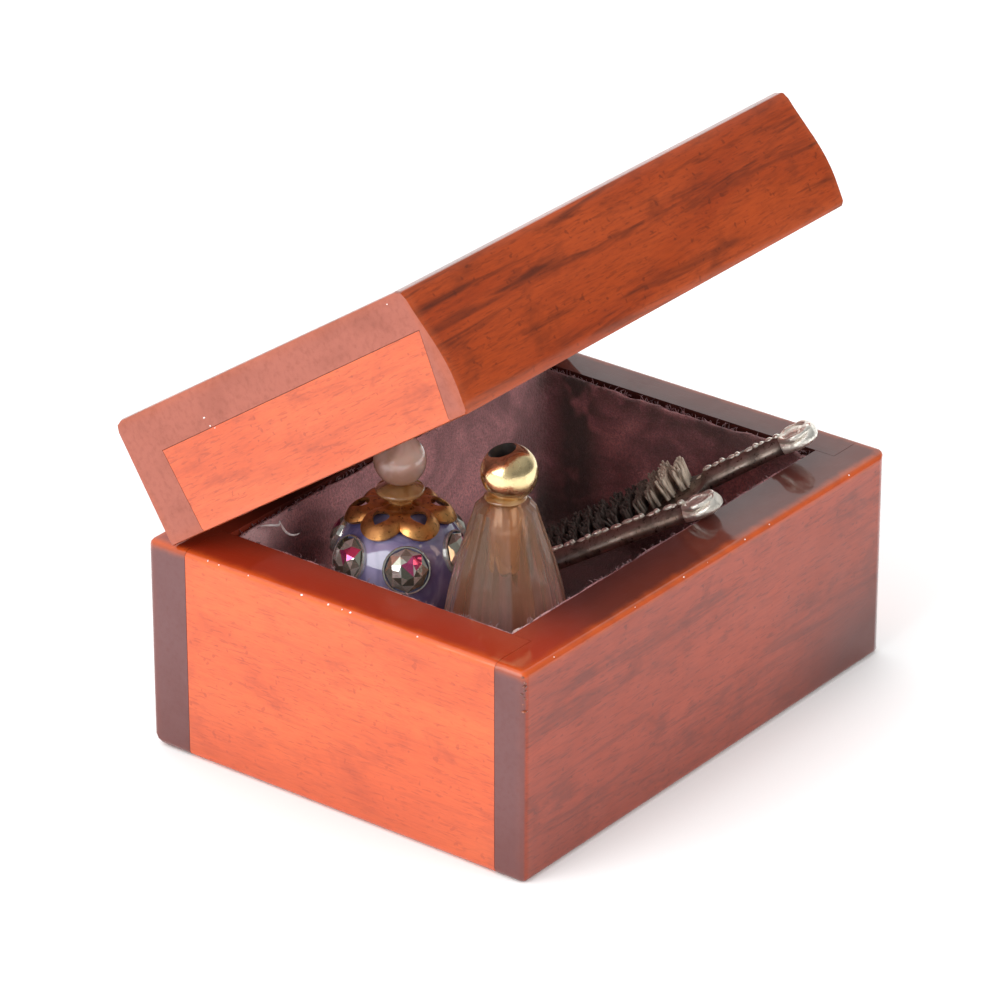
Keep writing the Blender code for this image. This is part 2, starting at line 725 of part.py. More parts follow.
def make_brush(mats):
    body = [(0.0, 0.38, 0.2), (0.3, 0.66, 0.3), (0.8, 0.74, 0.34), (1.3, 0.66, 0.3),
            (1.7, 0.5, 0.28), (3.6, 0.5, 0.3), (5.0, 0.55, 0.32), (5.6, 0.95, 0.34),
            (6.6, 1.4, 0.36), (8.5, 1.55, 0.38), (12.0, 1.55, 0.38), (14.6, 1.35, 0.36),
            (15.8, 0.9, 0.3), (BRUSH_LENGTH, 0.45, 0.2)]
    add_object("brush_body", loft(body, 12), mats["silver"], None, BRUSH_FRAME)
    base = 0.4
    height = 1.7
    field = [(5.7, 0.5, 0.5), (6.5, 1.0, 1.0), (8.5, 1.2, 1.0), (12.0, 1.2, 1.0),
             (14.2, 0.95, 1.0), (15.2, 0.5, 0.6)]
    bm = bmesh.new()
    rings = []
    for x, half_width, rise in field:
        top = base + height * min(1.0, 0.6 + 0.4 * rise)
        flare = half_width * 1.1
        corners = ((-half_width, base), (half_width, base), (flare, top), (-flare, top))
        rings.append([bm.verts.new((x, y, z)) for y, z in corners])
    for low, high in zip(rings, rings[1:]):
        bridge(bm, low, high)
    bm.faces.new(rings[0])
    bm.faces.new(rings[-1])
    add_object("brush_bristles", bm, mats["bristle"], None, BRUSH_FRAME)


# ---------------------------------------------------------------- assembly

def make_materials():
    return {
        "red_wood": material("red_wood", (0.32, 0.08, 0.025), 0.28),
        "orange_wood": material("orange_wood", (0.55, 0.14, 0.04), 0.3),
        "lid_wood": material("lid_wood", (0.38, 0.11, 0.025), 0.26),
        "lid_end_wood": material("lid_end_wood", (0.56, 0.17, 0.05), 0.3),
        "velvet": material("velvet", (0.09, 0.018, 0.025), 0.95),
        "brass": material("brass", (0.7, 0.5, 0.18), 0.35, 1.0),
        "gold": material("gold", (0.85, 0.6, 0.2), 0.2, 1.0),
        "silver": material("silver", (0.62, 0.6, 0.56), 0.25, 1.0),
        "mirror": material("mirror", (0.85, 0.87, 0.88), 0.03, 1.0),
        "crystal": material("crystal", (0.95, 0.88, 0.75), 0.04, 0.0, 0.9),
        "blue_glass": material("blue_glass", (0.05, 0.06, 0.22), 0.12),
        "rhinestone": material("rhinestone", (0.85, 0.85, 0.88), 0.05, 0.3),
        "pearl": material("pearl", (0.75, 0.72, 0.66), 0.25),
        "bristle": material("bristle", (0.75, 0.62, 0.42), 0.7),
    }


def lid_pivot():
    """The empty on the hinge line that carries the lid and opens it."""
    pivot = bpy.data.objects.new("lid_hinge_axis", None)
    bpy.context.scene.collection.objects.link(pivot)
    pivot.location = (0.0, HINGE_Y, HINGE_Z)
    bpy.context.view_layer.update()
    return pivot


def to_metres():
    """Shrinks every mesh and every object's place from millimetres to metres."""
    for obj in bpy.data.objects:
        obj.location *= MM
        if obj.type == "MESH":
            obj.data.transform(Matrix.Scale(MM, 4))
    bpy.context.view_layer.update()


def main():
    clear_scene()
    mats = make_materials()
    make_boards(mats)
    make_linings(mats["velvet"])
    lid = lid_pivot()
    make_lid(lid, mats)
    make_lid_linings(lid, mats["velvet"])
    for side_name, x in (("left", -HINGE_X), ("right", HINGE_X)):
        make_hinge(side_name, x, mats["brass"], lid)
    make_crystal_bottle(mats["crystal"], mats["gold"])
    make_blue_bottle(mats)
    make_mirror(mats)
    make_brush(mats)
    lid.rotation_euler = (-math.radians(LID_OPEN_DEG), 0.0, 0.0)
    to_metres()


main()
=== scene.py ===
import math
import random

import bmesh
import bpy
from mathutils import Matrix, Vector, noise


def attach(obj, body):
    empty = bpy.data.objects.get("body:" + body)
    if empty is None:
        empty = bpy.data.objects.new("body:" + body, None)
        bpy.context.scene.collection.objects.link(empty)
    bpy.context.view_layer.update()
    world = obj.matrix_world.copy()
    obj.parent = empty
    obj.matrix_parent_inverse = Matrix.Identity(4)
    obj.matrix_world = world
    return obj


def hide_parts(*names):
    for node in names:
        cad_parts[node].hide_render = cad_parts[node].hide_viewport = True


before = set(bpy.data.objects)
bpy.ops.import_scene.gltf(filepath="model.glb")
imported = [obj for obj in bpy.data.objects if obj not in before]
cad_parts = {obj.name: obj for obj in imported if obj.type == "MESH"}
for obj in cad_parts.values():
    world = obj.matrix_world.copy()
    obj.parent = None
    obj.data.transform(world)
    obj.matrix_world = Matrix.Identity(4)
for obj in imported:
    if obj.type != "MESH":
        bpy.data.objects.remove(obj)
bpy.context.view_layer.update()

# The miniature jewellery chest's looks: its lacquered wood, velvet, bottles, hand mirror and brush.
# Pieces are drawn in millimetres in the frame's axes, and made_piece() turns them into metres.

MM = 0.001

# The chest's and the lid's sizes, which the wear along the edges is measured from
BODY_HALF = (12.7, 9.725)
BODY_H = 9.53
LID_LOW = Vector((-12.8, -10.235, 9.55))
LID_HIGH = Vector((12.95, 8.345, 15.13))
HINGE = Vector((0.0, 8.375, 9.55))
LID_OPEN = math.radians(34.3)
WELL_LOW = Vector((-10.28, -7.255, 1.62))
WELL_HIGH = Vector((10.73, 7.255, 9.36))
ROOM_LOW = Vector((-10.38, -7.715, 9.72))
ROOM_HIGH = Vector((10.53, 6.175, 13.26))

CLOTH_INSET = 0.24           # from a hollow's wood to the cloth before it is thickened
CLOTH_THICK = 0.16

CRYSTAL_AT = Vector((-6.2, -3.785, 0.0))
CRYSTAL_BASE = 1.92
CRYSTAL_TOP = 12.82
FLUTES = 16
BALL_AT = Vector((-6.08, -3.885, 14.02))
BALL_R = 1.18
BORE_R = 0.62
BALL_LEAN = Vector((-0.598, 0.801, 0.0)) * 0.3    # the drilled hole tips this way
BEAD_AT = Vector((-5.85, 1.915, 7.96))
BEAD_R = 2.84
BEAD_LOW = 4.1               # the bead reaches this far below its middle
STONES = 6
FIRST_STONE_DEG = 223.7
STONE_RISE_DEG = 22.0
CAP_LOBES = 6
CAP_TURN = math.radians(7.7)    # petals sit either side of the front stone
PEARL_R = 1.1
PEARL_Z = 12.76


# ---------------- materials

class Nodes:
    """Builds a node tree, with one short call for each kind of node."""

    def __init__(self, tree):
        self.tree = tree

    def feed(self, socket, value):
        if isinstance(value, bpy.types.NodeSocket):
            self.tree.links.new(value, socket)
        elif socket.type == "RGBA" and len(value) == 3:
            socket.default_value = (*value, 1.0)
        else:
            socket.default_value = value

    def add(self, kind, **inputs):
        node = self.tree.nodes.new("ShaderNode" + kind)
        for name, value in inputs.items():
            self.feed(node.inputs[name], value)
        return node

    def calc(self, kind, first, second=0.0, third=0.0):
        node = self.add("Math")
        node.operation = kind
        for socket, value in zip(node.inputs, (first, second, third)):
            self.feed(socket, value)
        return node.outputs[0]

    def facing(self, vector, way):
        """How far a unit vector points one way: 1 along it, 0 square to it."""
        node = self.add("VectorMath")
        node.operation = "DOT_PRODUCT"
        self.feed(node.inputs[0], vector)
        self.feed(node.inputs[1], way)
        return node.outputs["Value"]

    def split(self, vector):
        return self.add("SeparateXYZ", Vector=vector).outputs

    def span(self, value, low, high, start=0.0, end=1.0):
        """Eases from start to end as value goes from low to high."""
        node = self.add("MapRange")
        node.interpolation_type = "SMOOTHSTEP"
        for name, each in (("Value", value), ("From Min", low), ("From Max", high),
                           ("To Min", start), ("To Max", end)):
            self.feed(node.inputs[name], each)
        return node.outputs[0]

    def mix(self, factor, first, second):
        """Blends two colours, which a Mix node keeps in its sockets 6, 7 and 2."""
        node = self.add("Mix")
        node.data_type = "RGBA"
        self.feed(node.inputs[0], factor)
        self.feed(node.inputs[6], first)
        self.feed(node.inputs[7], second)
        return node.outputs[2]

    def attribute(self, name):
        node = self.add("Attribute")
        node.attribute_name = name
        return node.outputs


class Paint(Nodes):
    """A material being built, drawn in the chest's millimetres or the shut lid's."""

    def __init__(self, name, on_lid=False, **sockets):
        self.material = bpy.data.materials.new(name)
        self.material.use_nodes = True
        super().__init__(self.material.node_tree)
        self.shader = self.tree.nodes["Principled BSDF"]
        where = self.add("TexCoord")
        self.normal = where.outputs["Normal"]
        turn = LID_OPEN if on_lid else 0.0
        shift = HINGE - Matrix.Rotation(turn, 3, "X") @ HINGE
        place = self.add("Mapping", Vector=where.outputs["Object"], Location=shift,
                         Rotation=(turn, 0.0, 0.0), Scale=(1 / MM,) * 3)
        self.place = place.outputs[0]
        for socket, value in sockets.items():
            self.set(socket.replace("_", " "), value)

    def noise(self, stretch, detail=2.0, rough=0.5, warp=0.0, offset=0.0):
        """Noise from 0 to 1; stretch is its features per millimetre, alike or along each axis."""
        scale = stretch if isinstance(stretch, tuple) else (stretch,) * 3
        mapped = self.add("Mapping", Vector=self.place, Scale=scale, Location=(offset,) * 3)
        made = self.add("TexNoise", Vector=mapped.outputs[0], Scale=1.0, Detail=detail,
                        Roughness=rough, Distortion=warp)
        return made.outputs["Fac"]

    def bump(self, height, depth, strength=1.0):
        """Relief that is depth millimetres high."""
        node = self.add("Bump", Height=height, Strength=strength, Distance=depth * MM)
        self.set("Normal", node.outputs[0])

    def set(self, socket, value):
        self.feed(self.shader.inputs[socket], value)

    def color(self, value):
        self.set("Base Color", value)


def edge_distance(paint, low, high):
    """Millimetres from a block's nearest edge, for a point on its surface."""
    gaps = []
    for axis, value in enumerate(paint.split(paint.place)):
        below = paint.calc("SUBTRACT", value, low[axis])
        above = paint.calc("SUBTRACT", high[axis], value)
        gaps.append(paint.calc("MINIMUM", below, above))
    least = paint.calc("MINIMUM", gaps[0], gaps[1])
    most = paint.calc("MAXIMUM", gaps[0], gaps[1])
    return paint.calc("MAXIMUM", least, paint.calc("MINIMUM", most, gaps[2]))


def along(axis, run, across):
    """Noise scales for a pattern that runs along one axis of the board."""
    scales = [across, across, across]
    scales[axis] = run
    return tuple(scales)


def long_grain(paint, axis, tones, streak, pores, mottle):
    """A board's colour along its grain, and where its open pores are."""
    dark, middle, light = tones
    broad = paint.noise(along(axis, 0.09, 0.32), 2.0, 0.55, 0.6)
    bands = paint.noise(along(axis, 0.12, 1.5), 3.0, 0.6, 0.8, 7.0)
    fine = paint.noise(along(axis, 0.8, 7.0), 3.0, 0.7, 0.3, 3.0)
    dashes = paint.noise(along(axis, 1.6, 12.0), 2.0, 0.5, 0.0, 11.0)
    clouds = paint.noise(along(axis, 0.3, 0.55), 4.0, 0.65, 0.4, 13.0)
    pits = paint.noise(3.2, 1.0, 0.5, 0.0, 17.0)
    pore = paint.span(dashes, 0.56, 0.68, 0.0, pores)
    tone = paint.mix(paint.span(broad, 0.3, 0.7), middle, light)
    for share in (paint.span(bands, 0.5, 0.72, 0.0, streak), paint.span(clouds, 0.48, 0.72, 0.0, mottle),
                  paint.span(fine, 0.35, 0.75, 0.0, 0.3), pore, paint.span(pits, 0.67, 0.76, 0.0, 0.45)):
        tone = paint.mix(share, tone, dark)
    return tone, pore


def end_grain(paint, axis, tone, end, dark):
    """Where the board is cut across its grain: matter, with specks and faint rings."""
    cross = paint.calc("ABSOLUTE", paint.split(paint.normal)[axis])
    specks = paint.noise(4.0, 3.0, 0.65, 0.2, 5.0)
    rings = paint.noise((0.3, 0.3, 0.5), 3.0, 0.5, 0.5, 9.0)
    cut = paint.mix(paint.span(specks, 0.4, 0.8, 0.0, 0.22), end, dark)
    cut = paint.mix(paint.span(rings, 0.42, 0.75, 0.0, 0.22), cut, dark)
    return paint.mix(paint.span(cross, 0.45, 0.8), tone, cut)


def wood(name, axis, tones, low, high, on_lid=False, streak=0.5, pores=0.4, wear=0.5, mottle=0.4,
         coat=0.8):
    """Stained, lacquered hardwood. Tones are dark, middle, light, end grain and worn edge."""
    dark, middle, light, end, worn = tones
    paint = Paint(name, on_lid, Coat_Weight=coat, Coat_Roughness=0.06, Coat_IOR=1.5,
                  Specular_IOR_Level=0.05)
    tone, pore = long_grain(paint, axis, (dark, middle, light), streak, pores, mottle)
    tone = end_grain(paint, axis, tone, end, dark)
    if on_lid:
        near_top = 1.0
        polish_top(paint, coat)
    else:
        # Painted shade towards the chest's foot.
        tone = painted_foot_shade(paint, tone, dark)
        # Painted shade and a painted reflection darken the rim.
        tone = painted_rim_shade(paint, tone)
        near_top = paint.span(paint.split(paint.place)[2], high[2] - 0.55, high[2] - 0.1, 0.1, 1.0)
    edge = edge_distance(paint, low, high)
    ragged = paint.calc("MULTIPLY", paint.noise(0.9, 3.0, 0.6, 0.4, 2.0), 0.5)
    wear_and_light_mask = paint.span(paint.calc("SUBTRACT", edge, ragged), -0.3, 0.35, wear, 0.0)
    paint.color(paint.mix(paint.calc("MULTIPLY", wear_and_light_mask, near_top), tone, worn))
    haze = paint.noise(0.6, 3.0, 0.6, 0.0, 4.0)
    paint.set("Roughness", paint.span(haze, 0.3, 0.7, 0.3, 0.5))
    ripple = paint.noise(0.5, 2.0, 0.5)
    paint.bump(paint.calc("MULTIPLY_ADD", pore, -0.35, ripple), 0.03, 0.5)
    skin = paint.add("Bump", Height=ripple, Strength=0.35, Distance=0.03 * MM)
    paint.set("Coat Normal", skin.outputs[0])
    return paint.material


def polish_top(paint, coat):
    """The lid's top is buffed to a full shine; its other faces have a thinner coat."""
    _x, y, z = paint.split(paint.normal)
    tipped = paint.calc("MULTIPLY", y, math.sin(LID_OPEN))
    upright = paint.calc("MULTIPLY_ADD", z, math.cos(LID_OPEN), tipped)
    paint.set("Coat Weight", paint.span(upright, 0.8, 0.98, coat, 1.0))


def painted_foot_shade(paint, tone, dark):
    """Painted shade: the wood darkens towards the chest's foot, most of all at its right."""
    x, _y, z = paint.split(paint.place)
    foot = paint.span(z, 0.2, 4.5, 0.35, 0.0)
    right = paint.calc("MULTIPLY", paint.span(x, 2.0, 12.0), paint.span(z, 1.0, 7.5, 0.8, 0.0))
    return paint.mix(paint.calc("ADD", foot, right), tone, dark)


def painted_rim_shade(paint, tone):
    """The rim is painted darker than the sides, as painted shade and a painted reflection of the open
    lid's dark underside: red at the left, browner further right.
    """
    x, y, _z = paint.split(paint.place)
    across = paint.calc("SUBTRACT", BODY_HALF[0], paint.calc("ABSOLUTE", x))
    deep = paint.calc("SUBTRACT", BODY_HALF[1], paint.calc("ABSOLUTE", y))
    inset = paint.calc("MINIMUM", across, deep)
    upward = paint.span(paint.split(paint.normal)[2], 0.5, 0.9)
    rim_shade_mask = paint.calc("MAXIMUM", upward, paint.span(inset, 0.3, 0.6))
    past_left = paint.span(x, -11.5, -6.0)
    # Painted shade tones for the rim's top and, further in, its inner band; both darken towards the
    # right.
    outer = paint.mix(past_left, (0.32, 0.03, 0.01), (0.11, 0.021, 0.012))
    inner = paint.mix(past_left, (0.33, 0.05, 0.025), (0.055, 0.013, 0.011))
    tone = paint.mix(rim_shade_mask, tone, outer)
    return paint.mix(paint.span(inset, 0.7, 2.4, 0.0, 0.75), tone, inner)


def velvet(name, on_lid=False):
    """Short-pile velvet: brushed patches, dark roots and a soft sheen; in the well, painted shade and a
    painted pool of light too.
    """
    paint = Paint(name, on_lid, Roughness=0.95, Sheen_Weight=0.35, Sheen_Roughness=0.4,
                  Specular_IOR_Level=0.1)
    paint.set("Sheen Tint", (0.75, 0.5, 0.55))
    patches = paint.noise((0.22, 0.22, 0.3), 3.0, 0.6, 1.2)
    pile = paint.noise(9.0, 2.0, 0.8)
    tone = paint.mix(paint.span(patches, 0.32, 0.66), (0.36, 0.18, 0.185), (0.85, 0.38, 0.39))
    tone = paint.mix(paint.span(pile, 0.3, 0.7, 0.0, 0.55), tone, (0.2, 0.125, 0.125))
    if not on_lid:
        # Painted shade and painted light in the well.
        tone = painted_well_shade_and_light(paint, tone)
    paint.color(tone)
    paint.bump(pile, 0.12)
    return paint.material


def painted_well_shade_and_light(paint, tone):
    """Painted shade lies dark on the well's right wall and floor, and a painted pool of light makes the
    pile pale at the left.
    """
    x, y, z = paint.split(paint.place)
    on_right = paint.span(x, WELL_HIGH.x - 0.9, WELL_HIGH.x - 0.5)
    near_back = paint.calc("MULTIPLY", paint.span(y, 3.0, 4.8), paint.span(y, 5.6, 6.6, 1.0, 0.0))
    near_rim = paint.span(z, 8.0, 9.0, 0.0, 0.6)
    near_floor = paint.span(z, 3.0, 5.2, 0.9, 0.0)
    on_floor = paint.calc("MULTIPLY", paint.span(z, 2.1, 2.6, 0.85, 0.0), paint.span(x, 1.0, 4.0))
    ragged = paint.noise(0.8, 2.0, 0.5, 0.0, 6.0)
    place = paint.calc("MAXIMUM", near_back, near_rim)
    place = paint.calc("MULTIPLY", place, paint.span(ragged, 0.3, 0.5))
    place = paint.calc("MAXIMUM", place, near_floor)
    place = paint.calc("MAXIMUM", paint.calc("MULTIPLY", place, on_right), on_floor)
    # The painted shadow's tone, near the back, the rim and the floor.
    tone = paint.mix(place, tone, (0.15, 0.115, 0.105))
    # A painted pool of light at the left, near the rim.
    on_left = paint.span(x, -6.0, -9.0, 0.0, 0.7)
    wear_and_light_mask = paint.calc("MULTIPLY", on_left, paint.span(z, 7.4, 9.2))
    return paint.mix(wear_and_light_mask, tone, (0.9, 0.6, 0.6))


def metal(name, bright, dull, rough=0.2, grime=0.5, relief=0.02):
    """Plated metal with tarnish in patches and a lightly pitted face."""
    paint = Paint(name, Metallic=1.0)
    cloud = paint.noise(0.9, 4.0, 0.6, 0.4)
    pits = paint.noise(6.0, 3.0, 0.6)
    tarnish = paint.span(cloud, 0.4, 0.7, 0.0, grime)
    tone = paint.mix(tarnish, bright, dull)
    hollows = paint.span(pits, 0.56, 0.7, 0.0, grime)
    paint.color(paint.mix(hollows, tone, tuple(0.4 * value for value in dull)))
    paint.set("Roughness", paint.span(cloud, 0.3, 0.75, rough, rough + 0.22))
    paint.bump(pits, relief, 0.6)
    return paint.material


def crystal_glass(name):
    """Moulded clear resin, peach and pink flute by flute, and ochre towards its neck."""
    paint = Paint(name, Roughness=0.07, IOR=1.3, Transmission_Weight=0.88)
    band = paint.attribute("band")["Fac"]
    clouds = paint.noise((0.5, 0.5, 0.25), 1.0, 0.5, 0.0, 5.0)
    tone = paint.mix(band, (0.8, 0.36, 0.2), (1.0, 0.82, 0.8))
    tone = paint.mix(paint.span(clouds, 0.4, 0.7, 0.0, 0.5), tone, (0.98, 0.7, 0.5))
    height = paint.split(paint.place)[2]
    tone = paint.mix(paint.span(height, 8.0, 11.5, 0.0, 0.5), tone, (0.86, 0.6, 0.34))
    paint.color(tone)
    return paint.material


def tinted_glass(name, deep, pale, clear=0.3, rough=0.1):
    """Cloudy coloured glass with paler swirls."""
    paint = Paint(name, Roughness=rough, IOR=1.5, Transmission_Weight=clear, Coat_Weight=1.0,
                  Coat_Roughness=0.03)
    swirl = paint.noise((0.45, 0.45, 0.35), 3.0, 0.55, 1.5)
    paint.color(paint.mix(paint.span(swirl, 0.38, 0.68), deep, pale))
    paint.bump(paint.noise(1.2, 2.0), 0.02, 0.3)
    return paint.material


def gem_with_painted_glints(name):
    """Foiled glass stones whose facet tones, kept with the mesh, are painted reflections and painted
    highlights.
    """
    paint = Paint(name, Roughness=0.04, Metallic=0.75, Coat_Weight=1.0, Coat_Roughness=0.02)
    facet = paint.attribute("facet")["Color"]
    dust = paint.noise(6.0, 2.0)
    paint.color(paint.mix(paint.span(dust, 0.5, 0.75, 0.0, 0.25), facet, (0.3, 0.28, 0.26)))
    return paint.material


def pearl_coat(name):
    """Imitation pearl: a translucent grey-pink ball under a clear coat."""
    paint = Paint(name, Roughness=0.22, Coat_Weight=1.0, Coat_Roughness=0.05,
                  Subsurface_Weight=0.35, Subsurface_Scale=0.0006)
    cloud = paint.noise(0.8, 3.0, 0.5, 0.5)
    paint.color(paint.mix(paint.span(cloud, 0.35, 0.7), (0.4, 0.23, 0.17), (0.6, 0.4, 0.33)))
    paint.bump(cloud, 0.02, 0.4)
    return paint.material


def bristle_hair(name):
    """Bristles: cream and lit where the attribute says so, painted shade in the deep of the brush."""
    paint = Paint(name, Roughness=0.7, Specular_IOR_Level=0.2)
    pale = paint.attribute("pale")["Fac"]
    strands = paint.noise((5.0, 5.0, 1.5), 2.0)
    # Painted shade: dark bristles where the attribute is low, cream where it is high.
    tone = paint.mix(pale, (0.11, 0.088, 0.078), (0.66, 0.55, 0.44))
    tone = paint.mix(paint.span(strands, 0.4, 0.75, 0.0, 0.45), tone, (0.05, 0.04, 0.033))
    paint.color(tone)
    return paint.material


def plain_fibre(name, tone, other):
    """Lint and glue: matt, with slight changes of tone along it."""
    paint = Paint(name, Roughness=0.6, Sheen_Weight=0.3)
    paint.color(paint.mix(paint.span(paint.noise(3.0), 0.35, 0.65), tone, other))
    return paint.material


RED_TONES = ((0.1, 0.018, 0.012), (0.29, 0.042, 0.018), (0.35, 0.052, 0.022), (0.15, 0.06, 0.06),
             (0.6, 0.1, 0.015))
ORANGE_TONES = ((0.36, 0.06, 0.03), (0.68, 0.115, 0.038), (0.74, 0.14, 0.045), (0.4, 0.11, 0.06),
                (0.75, 0.13, 0.02))
LID_TONES = ((0.07, 0.016, 0.008), (0.265, 0.037, 0.009), (0.345, 0.055, 0.013), (0.38, 0.12, 0.085),
             (0.5, 0.11, 0.04))
PLUG_TONES = ((0.3, 0.055, 0.03), (0.6, 0.1, 0.036), (0.68, 0.13, 0.048), (0.4, 0.12, 0.08),
              (0.72, 0.18, 0.08))


def make_materials():
    """Every finish, by the name that the pieces ask for it."""
    made = {}

    def add(name, recipe, *args, **options):
        made[name] = recipe(f"{name}_finish", *args, **options)

    body_low = (-BODY_HALF[0], -BODY_HALF[1], 0.0)
    body_high = (BODY_HALF[0], BODY_HALF[1], BODY_H)
    add("red_wood", wood, 0, RED_TONES, body_low, body_high, wear=0.75, mottle=0.55)
    add("orange_wood", wood, 1, ORANGE_TONES, body_low, body_high, streak=0.3, mottle=0.45)
    add("lid_wood", wood, 0, LID_TONES, LID_LOW, LID_HIGH, True, streak=0.85, pores=0.3, wear=0.25,
        coat=0.3)
    add("lid_end_wood", wood, 1, PLUG_TONES, LID_LOW, LID_HIGH, True, streak=0.3, wear=0.3, mottle=0.5)
    add("velvet", velvet)
    add("lid_velvet", velvet, True)
    add("brass", metal, (0.72, 0.5, 0.2), (0.25, 0.15, 0.06), 0.25)
    add("gold", metal, (0.95, 0.76, 0.42), (0.75, 0.52, 0.22), 0.13, 0.3, 0.012)
    add("old_gold", metal, (0.75, 0.38, 0.13), (0.3, 0.13, 0.05), 0.3, 0.75)
    add("silver", metal, (0.36, 0.3, 0.26), (0.12, 0.095, 0.08), 0.32, 0.8)
    add("bright_silver", metal, (1.0, 0.97, 0.88), (0.85, 0.79, 0.69), 0.33, 0.45, 0.06)
    add("mirror", metal, (0.85, 0.87, 0.88), (0.7, 0.7, 0.7), 0.03, 0.3, 0.002)
    add("crystal", crystal_glass)
    add("amber", tinted_glass, (0.45, 0.19, 0.05), (0.65, 0.37, 0.15), 0.5)
    add("blue_glass", tinted_glass, (0.1, 0.095, 0.24), (0.34, 0.32, 0.52), 0.12)
    add("rhinestone", gem_with_painted_glints)
    add("pearl", pearl_coat)
    add("bristle", bristle_hair)
    add("bore_dark", plain_fibre, (0.012, 0.009, 0.007), (0.03, 0.02, 0.012))
    add("lint", plain_fibre, (0.95, 0.92, 0.9), (0.78, 0.68, 0.66))
    add("plum_lint", plain_fibre, (0.32, 0.16, 0.17), (0.16, 0.06, 0.07))
    add("glue", tinted_glass, (0.14, 0.03, 0.015), (0.4, 0.1, 0.04), 0.2, 0.15)
    add("white_glue", plain_fibre, (0.72, 0.62, 0.6), (0.6, 0.42, 0.38))
    return made


# ---------------- mesh helpers

def placed(name, data):
    """An object in the scene for a mesh, a light or a camera."""
    obj = bpy.data.objects.new(name, data)
    bpy.context.scene.collection.objects.link(obj)
    return obj


def mesh_object(name, bm):
    """A bmesh becomes an object in the scene."""
    mesh = bpy.data.meshes.new(name)
    bm.to_mesh(mesh)
    bm.free()
    return placed(name, mesh)


def made_piece(name, bm, mats, body, nodes=(), matrix=None):
    """A mesh drawn in millimetres becomes a piece that rides on a body."""
    if matrix is not None:
        bmesh.ops.transform(bm, matrix=matrix, verts=bm.verts)
    obj = mesh_object(name, bm)
    obj.data.transform(Matrix.Scale(MM, 4))
    for mat in mats:
        obj.data.materials.append(mat)
    obj.data.shade_smooth()
    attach(obj, body)
    if nodes:
        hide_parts(*nodes)
    return obj


def sharpen(obj, degrees):
    """Edges that turn by more than this many degrees shade as creases."""
    obj.data.set_sharp_from_angle(angle=math.radians(degrees))


def bridge(bm, low, high, mat=0):
    """Faces between two rings of points; either ring may be a single point."""
    count = max(len(low), len(high))
    for side in range(count):
        after = (side + 1) % count
        if len(low) == 1:
            face = bm.faces.new((low[0], high[after], high[side]))
        elif len(high) == 1:
            face = bm.faces.new((low[side], low[after], high[0]))
        else:
            face = bm.faces.new((low[side], low[after], high[after], high[side]))
        face.material_index = mat


def ring_solid(bm, rings, mat=0, closed=False):
    """A solid through rings of points; open ends are filled."""
    made = [[bm.verts.new(point) for point in ring] for ring in rings]
    before = len(bm.faces)
    for low, high in zip(made, made[1:]):
        bridge(bm, low, high, mat)
    if closed:
        bridge(bm, made[-1], made[0], mat)
    else:
        for ring in (made[0], made[-1]):
            if len(ring) > 1:
                bm.faces.new(ring).material_index = mat
    bm.faces.ensure_lookup_table()
    bmesh.ops.recalc_face_normals(bm, faces=bm.faces[before:])


def turns(count, shift=0.0):
    """Angles evenly spaced around a full turn."""
    return [2 * math.pi * (step + shift) / count for step in range(count)]


def on_circle(radius, turn, height=0.0):
    """The point at a radius and an angle about Z."""
    return Vector((radius * math.cos(turn), radius * math.sin(turn), height))


def direction(turn, rise):
    """The unit vector at an angle about Z and an angle above level."""
    return Vector((math.cos(turn) * math.cos(rise), math.sin(turn) * math.cos(rise), math.sin(rise)))


def scatter(draw, x, y, z=0.0):
    """A random step of up to x and y either way, with a fixed rise."""
    return Vector((draw.uniform(-x, x), draw.uniform(-y, y), z))


def turned_rings(profile, sides, ripple=None):
    """Rings about Z through (radius, height) points; ripple changes a radius around the turn."""
    rings = []
    for radius, height in profile:
        if radius <= 0:
            rings.append([Vector((0.0, 0.0, height))])
            continue
        ring = []
        for turn in turns(sides):
            reach = radius * ripple(turn) if ripple else radius
            ring.append(on_circle(reach, turn, height))
        rings.append(ring)
    return rings


def turned_piece(name, profile, sides, mat, nodes, place):
    """A round piece of the contents, turned from (radius, height) points."""
    bm = bmesh.new()
    ring_solid(bm, turned_rings(profile, sides))
    return made_piece(name, bm, [mat], "chest", nodes, place)


def ball_profile(radius, below, above, steps):
    """Half a ball's outline from its foot to its top, as (radius, height) points."""
    points = [(0.0, -below)]
    for step in range(1, steps):
        angle = math.pi * step / steps
        rise = -math.cos(angle)
        points.append((radius * math.sin(angle), rise * (above if rise > 0 else below)))
    return points + [(0.0, above)]


def tube_rings(points, radii, sides):
    """Rings along a path, for thin round pieces."""
    rings = []
    for index, point in enumerate(points):
        before = points[max(index - 1, 0)]
        after = points[min(index + 1, len(points) - 1)]
        turn = (after - before).to_track_quat("Z", "Y").to_matrix()
        ring = []
        for angle in turns(sides):
            ring.append(point + turn @ on_circle(radii[index], angle))
        rings.append(ring)
    return rings


def half_axes(long, wide, tall):
    """A lump's half-axes when it lies square to X, Y and Z."""
    return Vector((long, 0.0, 0.0)), Vector((0.0, wide, 0.0)), Vector((0.0, 0.0, tall))


def lump(bm, centre, axes, sides=8, levels=5, mat=0):
    """A small rounded boss about a centre, with its three half-axes given as vectors."""
    rings = []
    for level in range(levels + 1):
        tilt = math.pi * level / levels
        if level in (0, levels):
            rings.append([centre + axes[2] * math.cos(tilt)])
            continue
        ring = []
        for turn in turns(sides):
            flat = axes[0] * math.cos(turn) + axes[1] * math.sin(turn)
            ring.append(centre + flat * math.sin(tilt) + axes[2] * math.cos(tilt))
        rings.append(ring)
    ring_solid(bm, rings, mat)


# ---------------- CAD pieces that stay

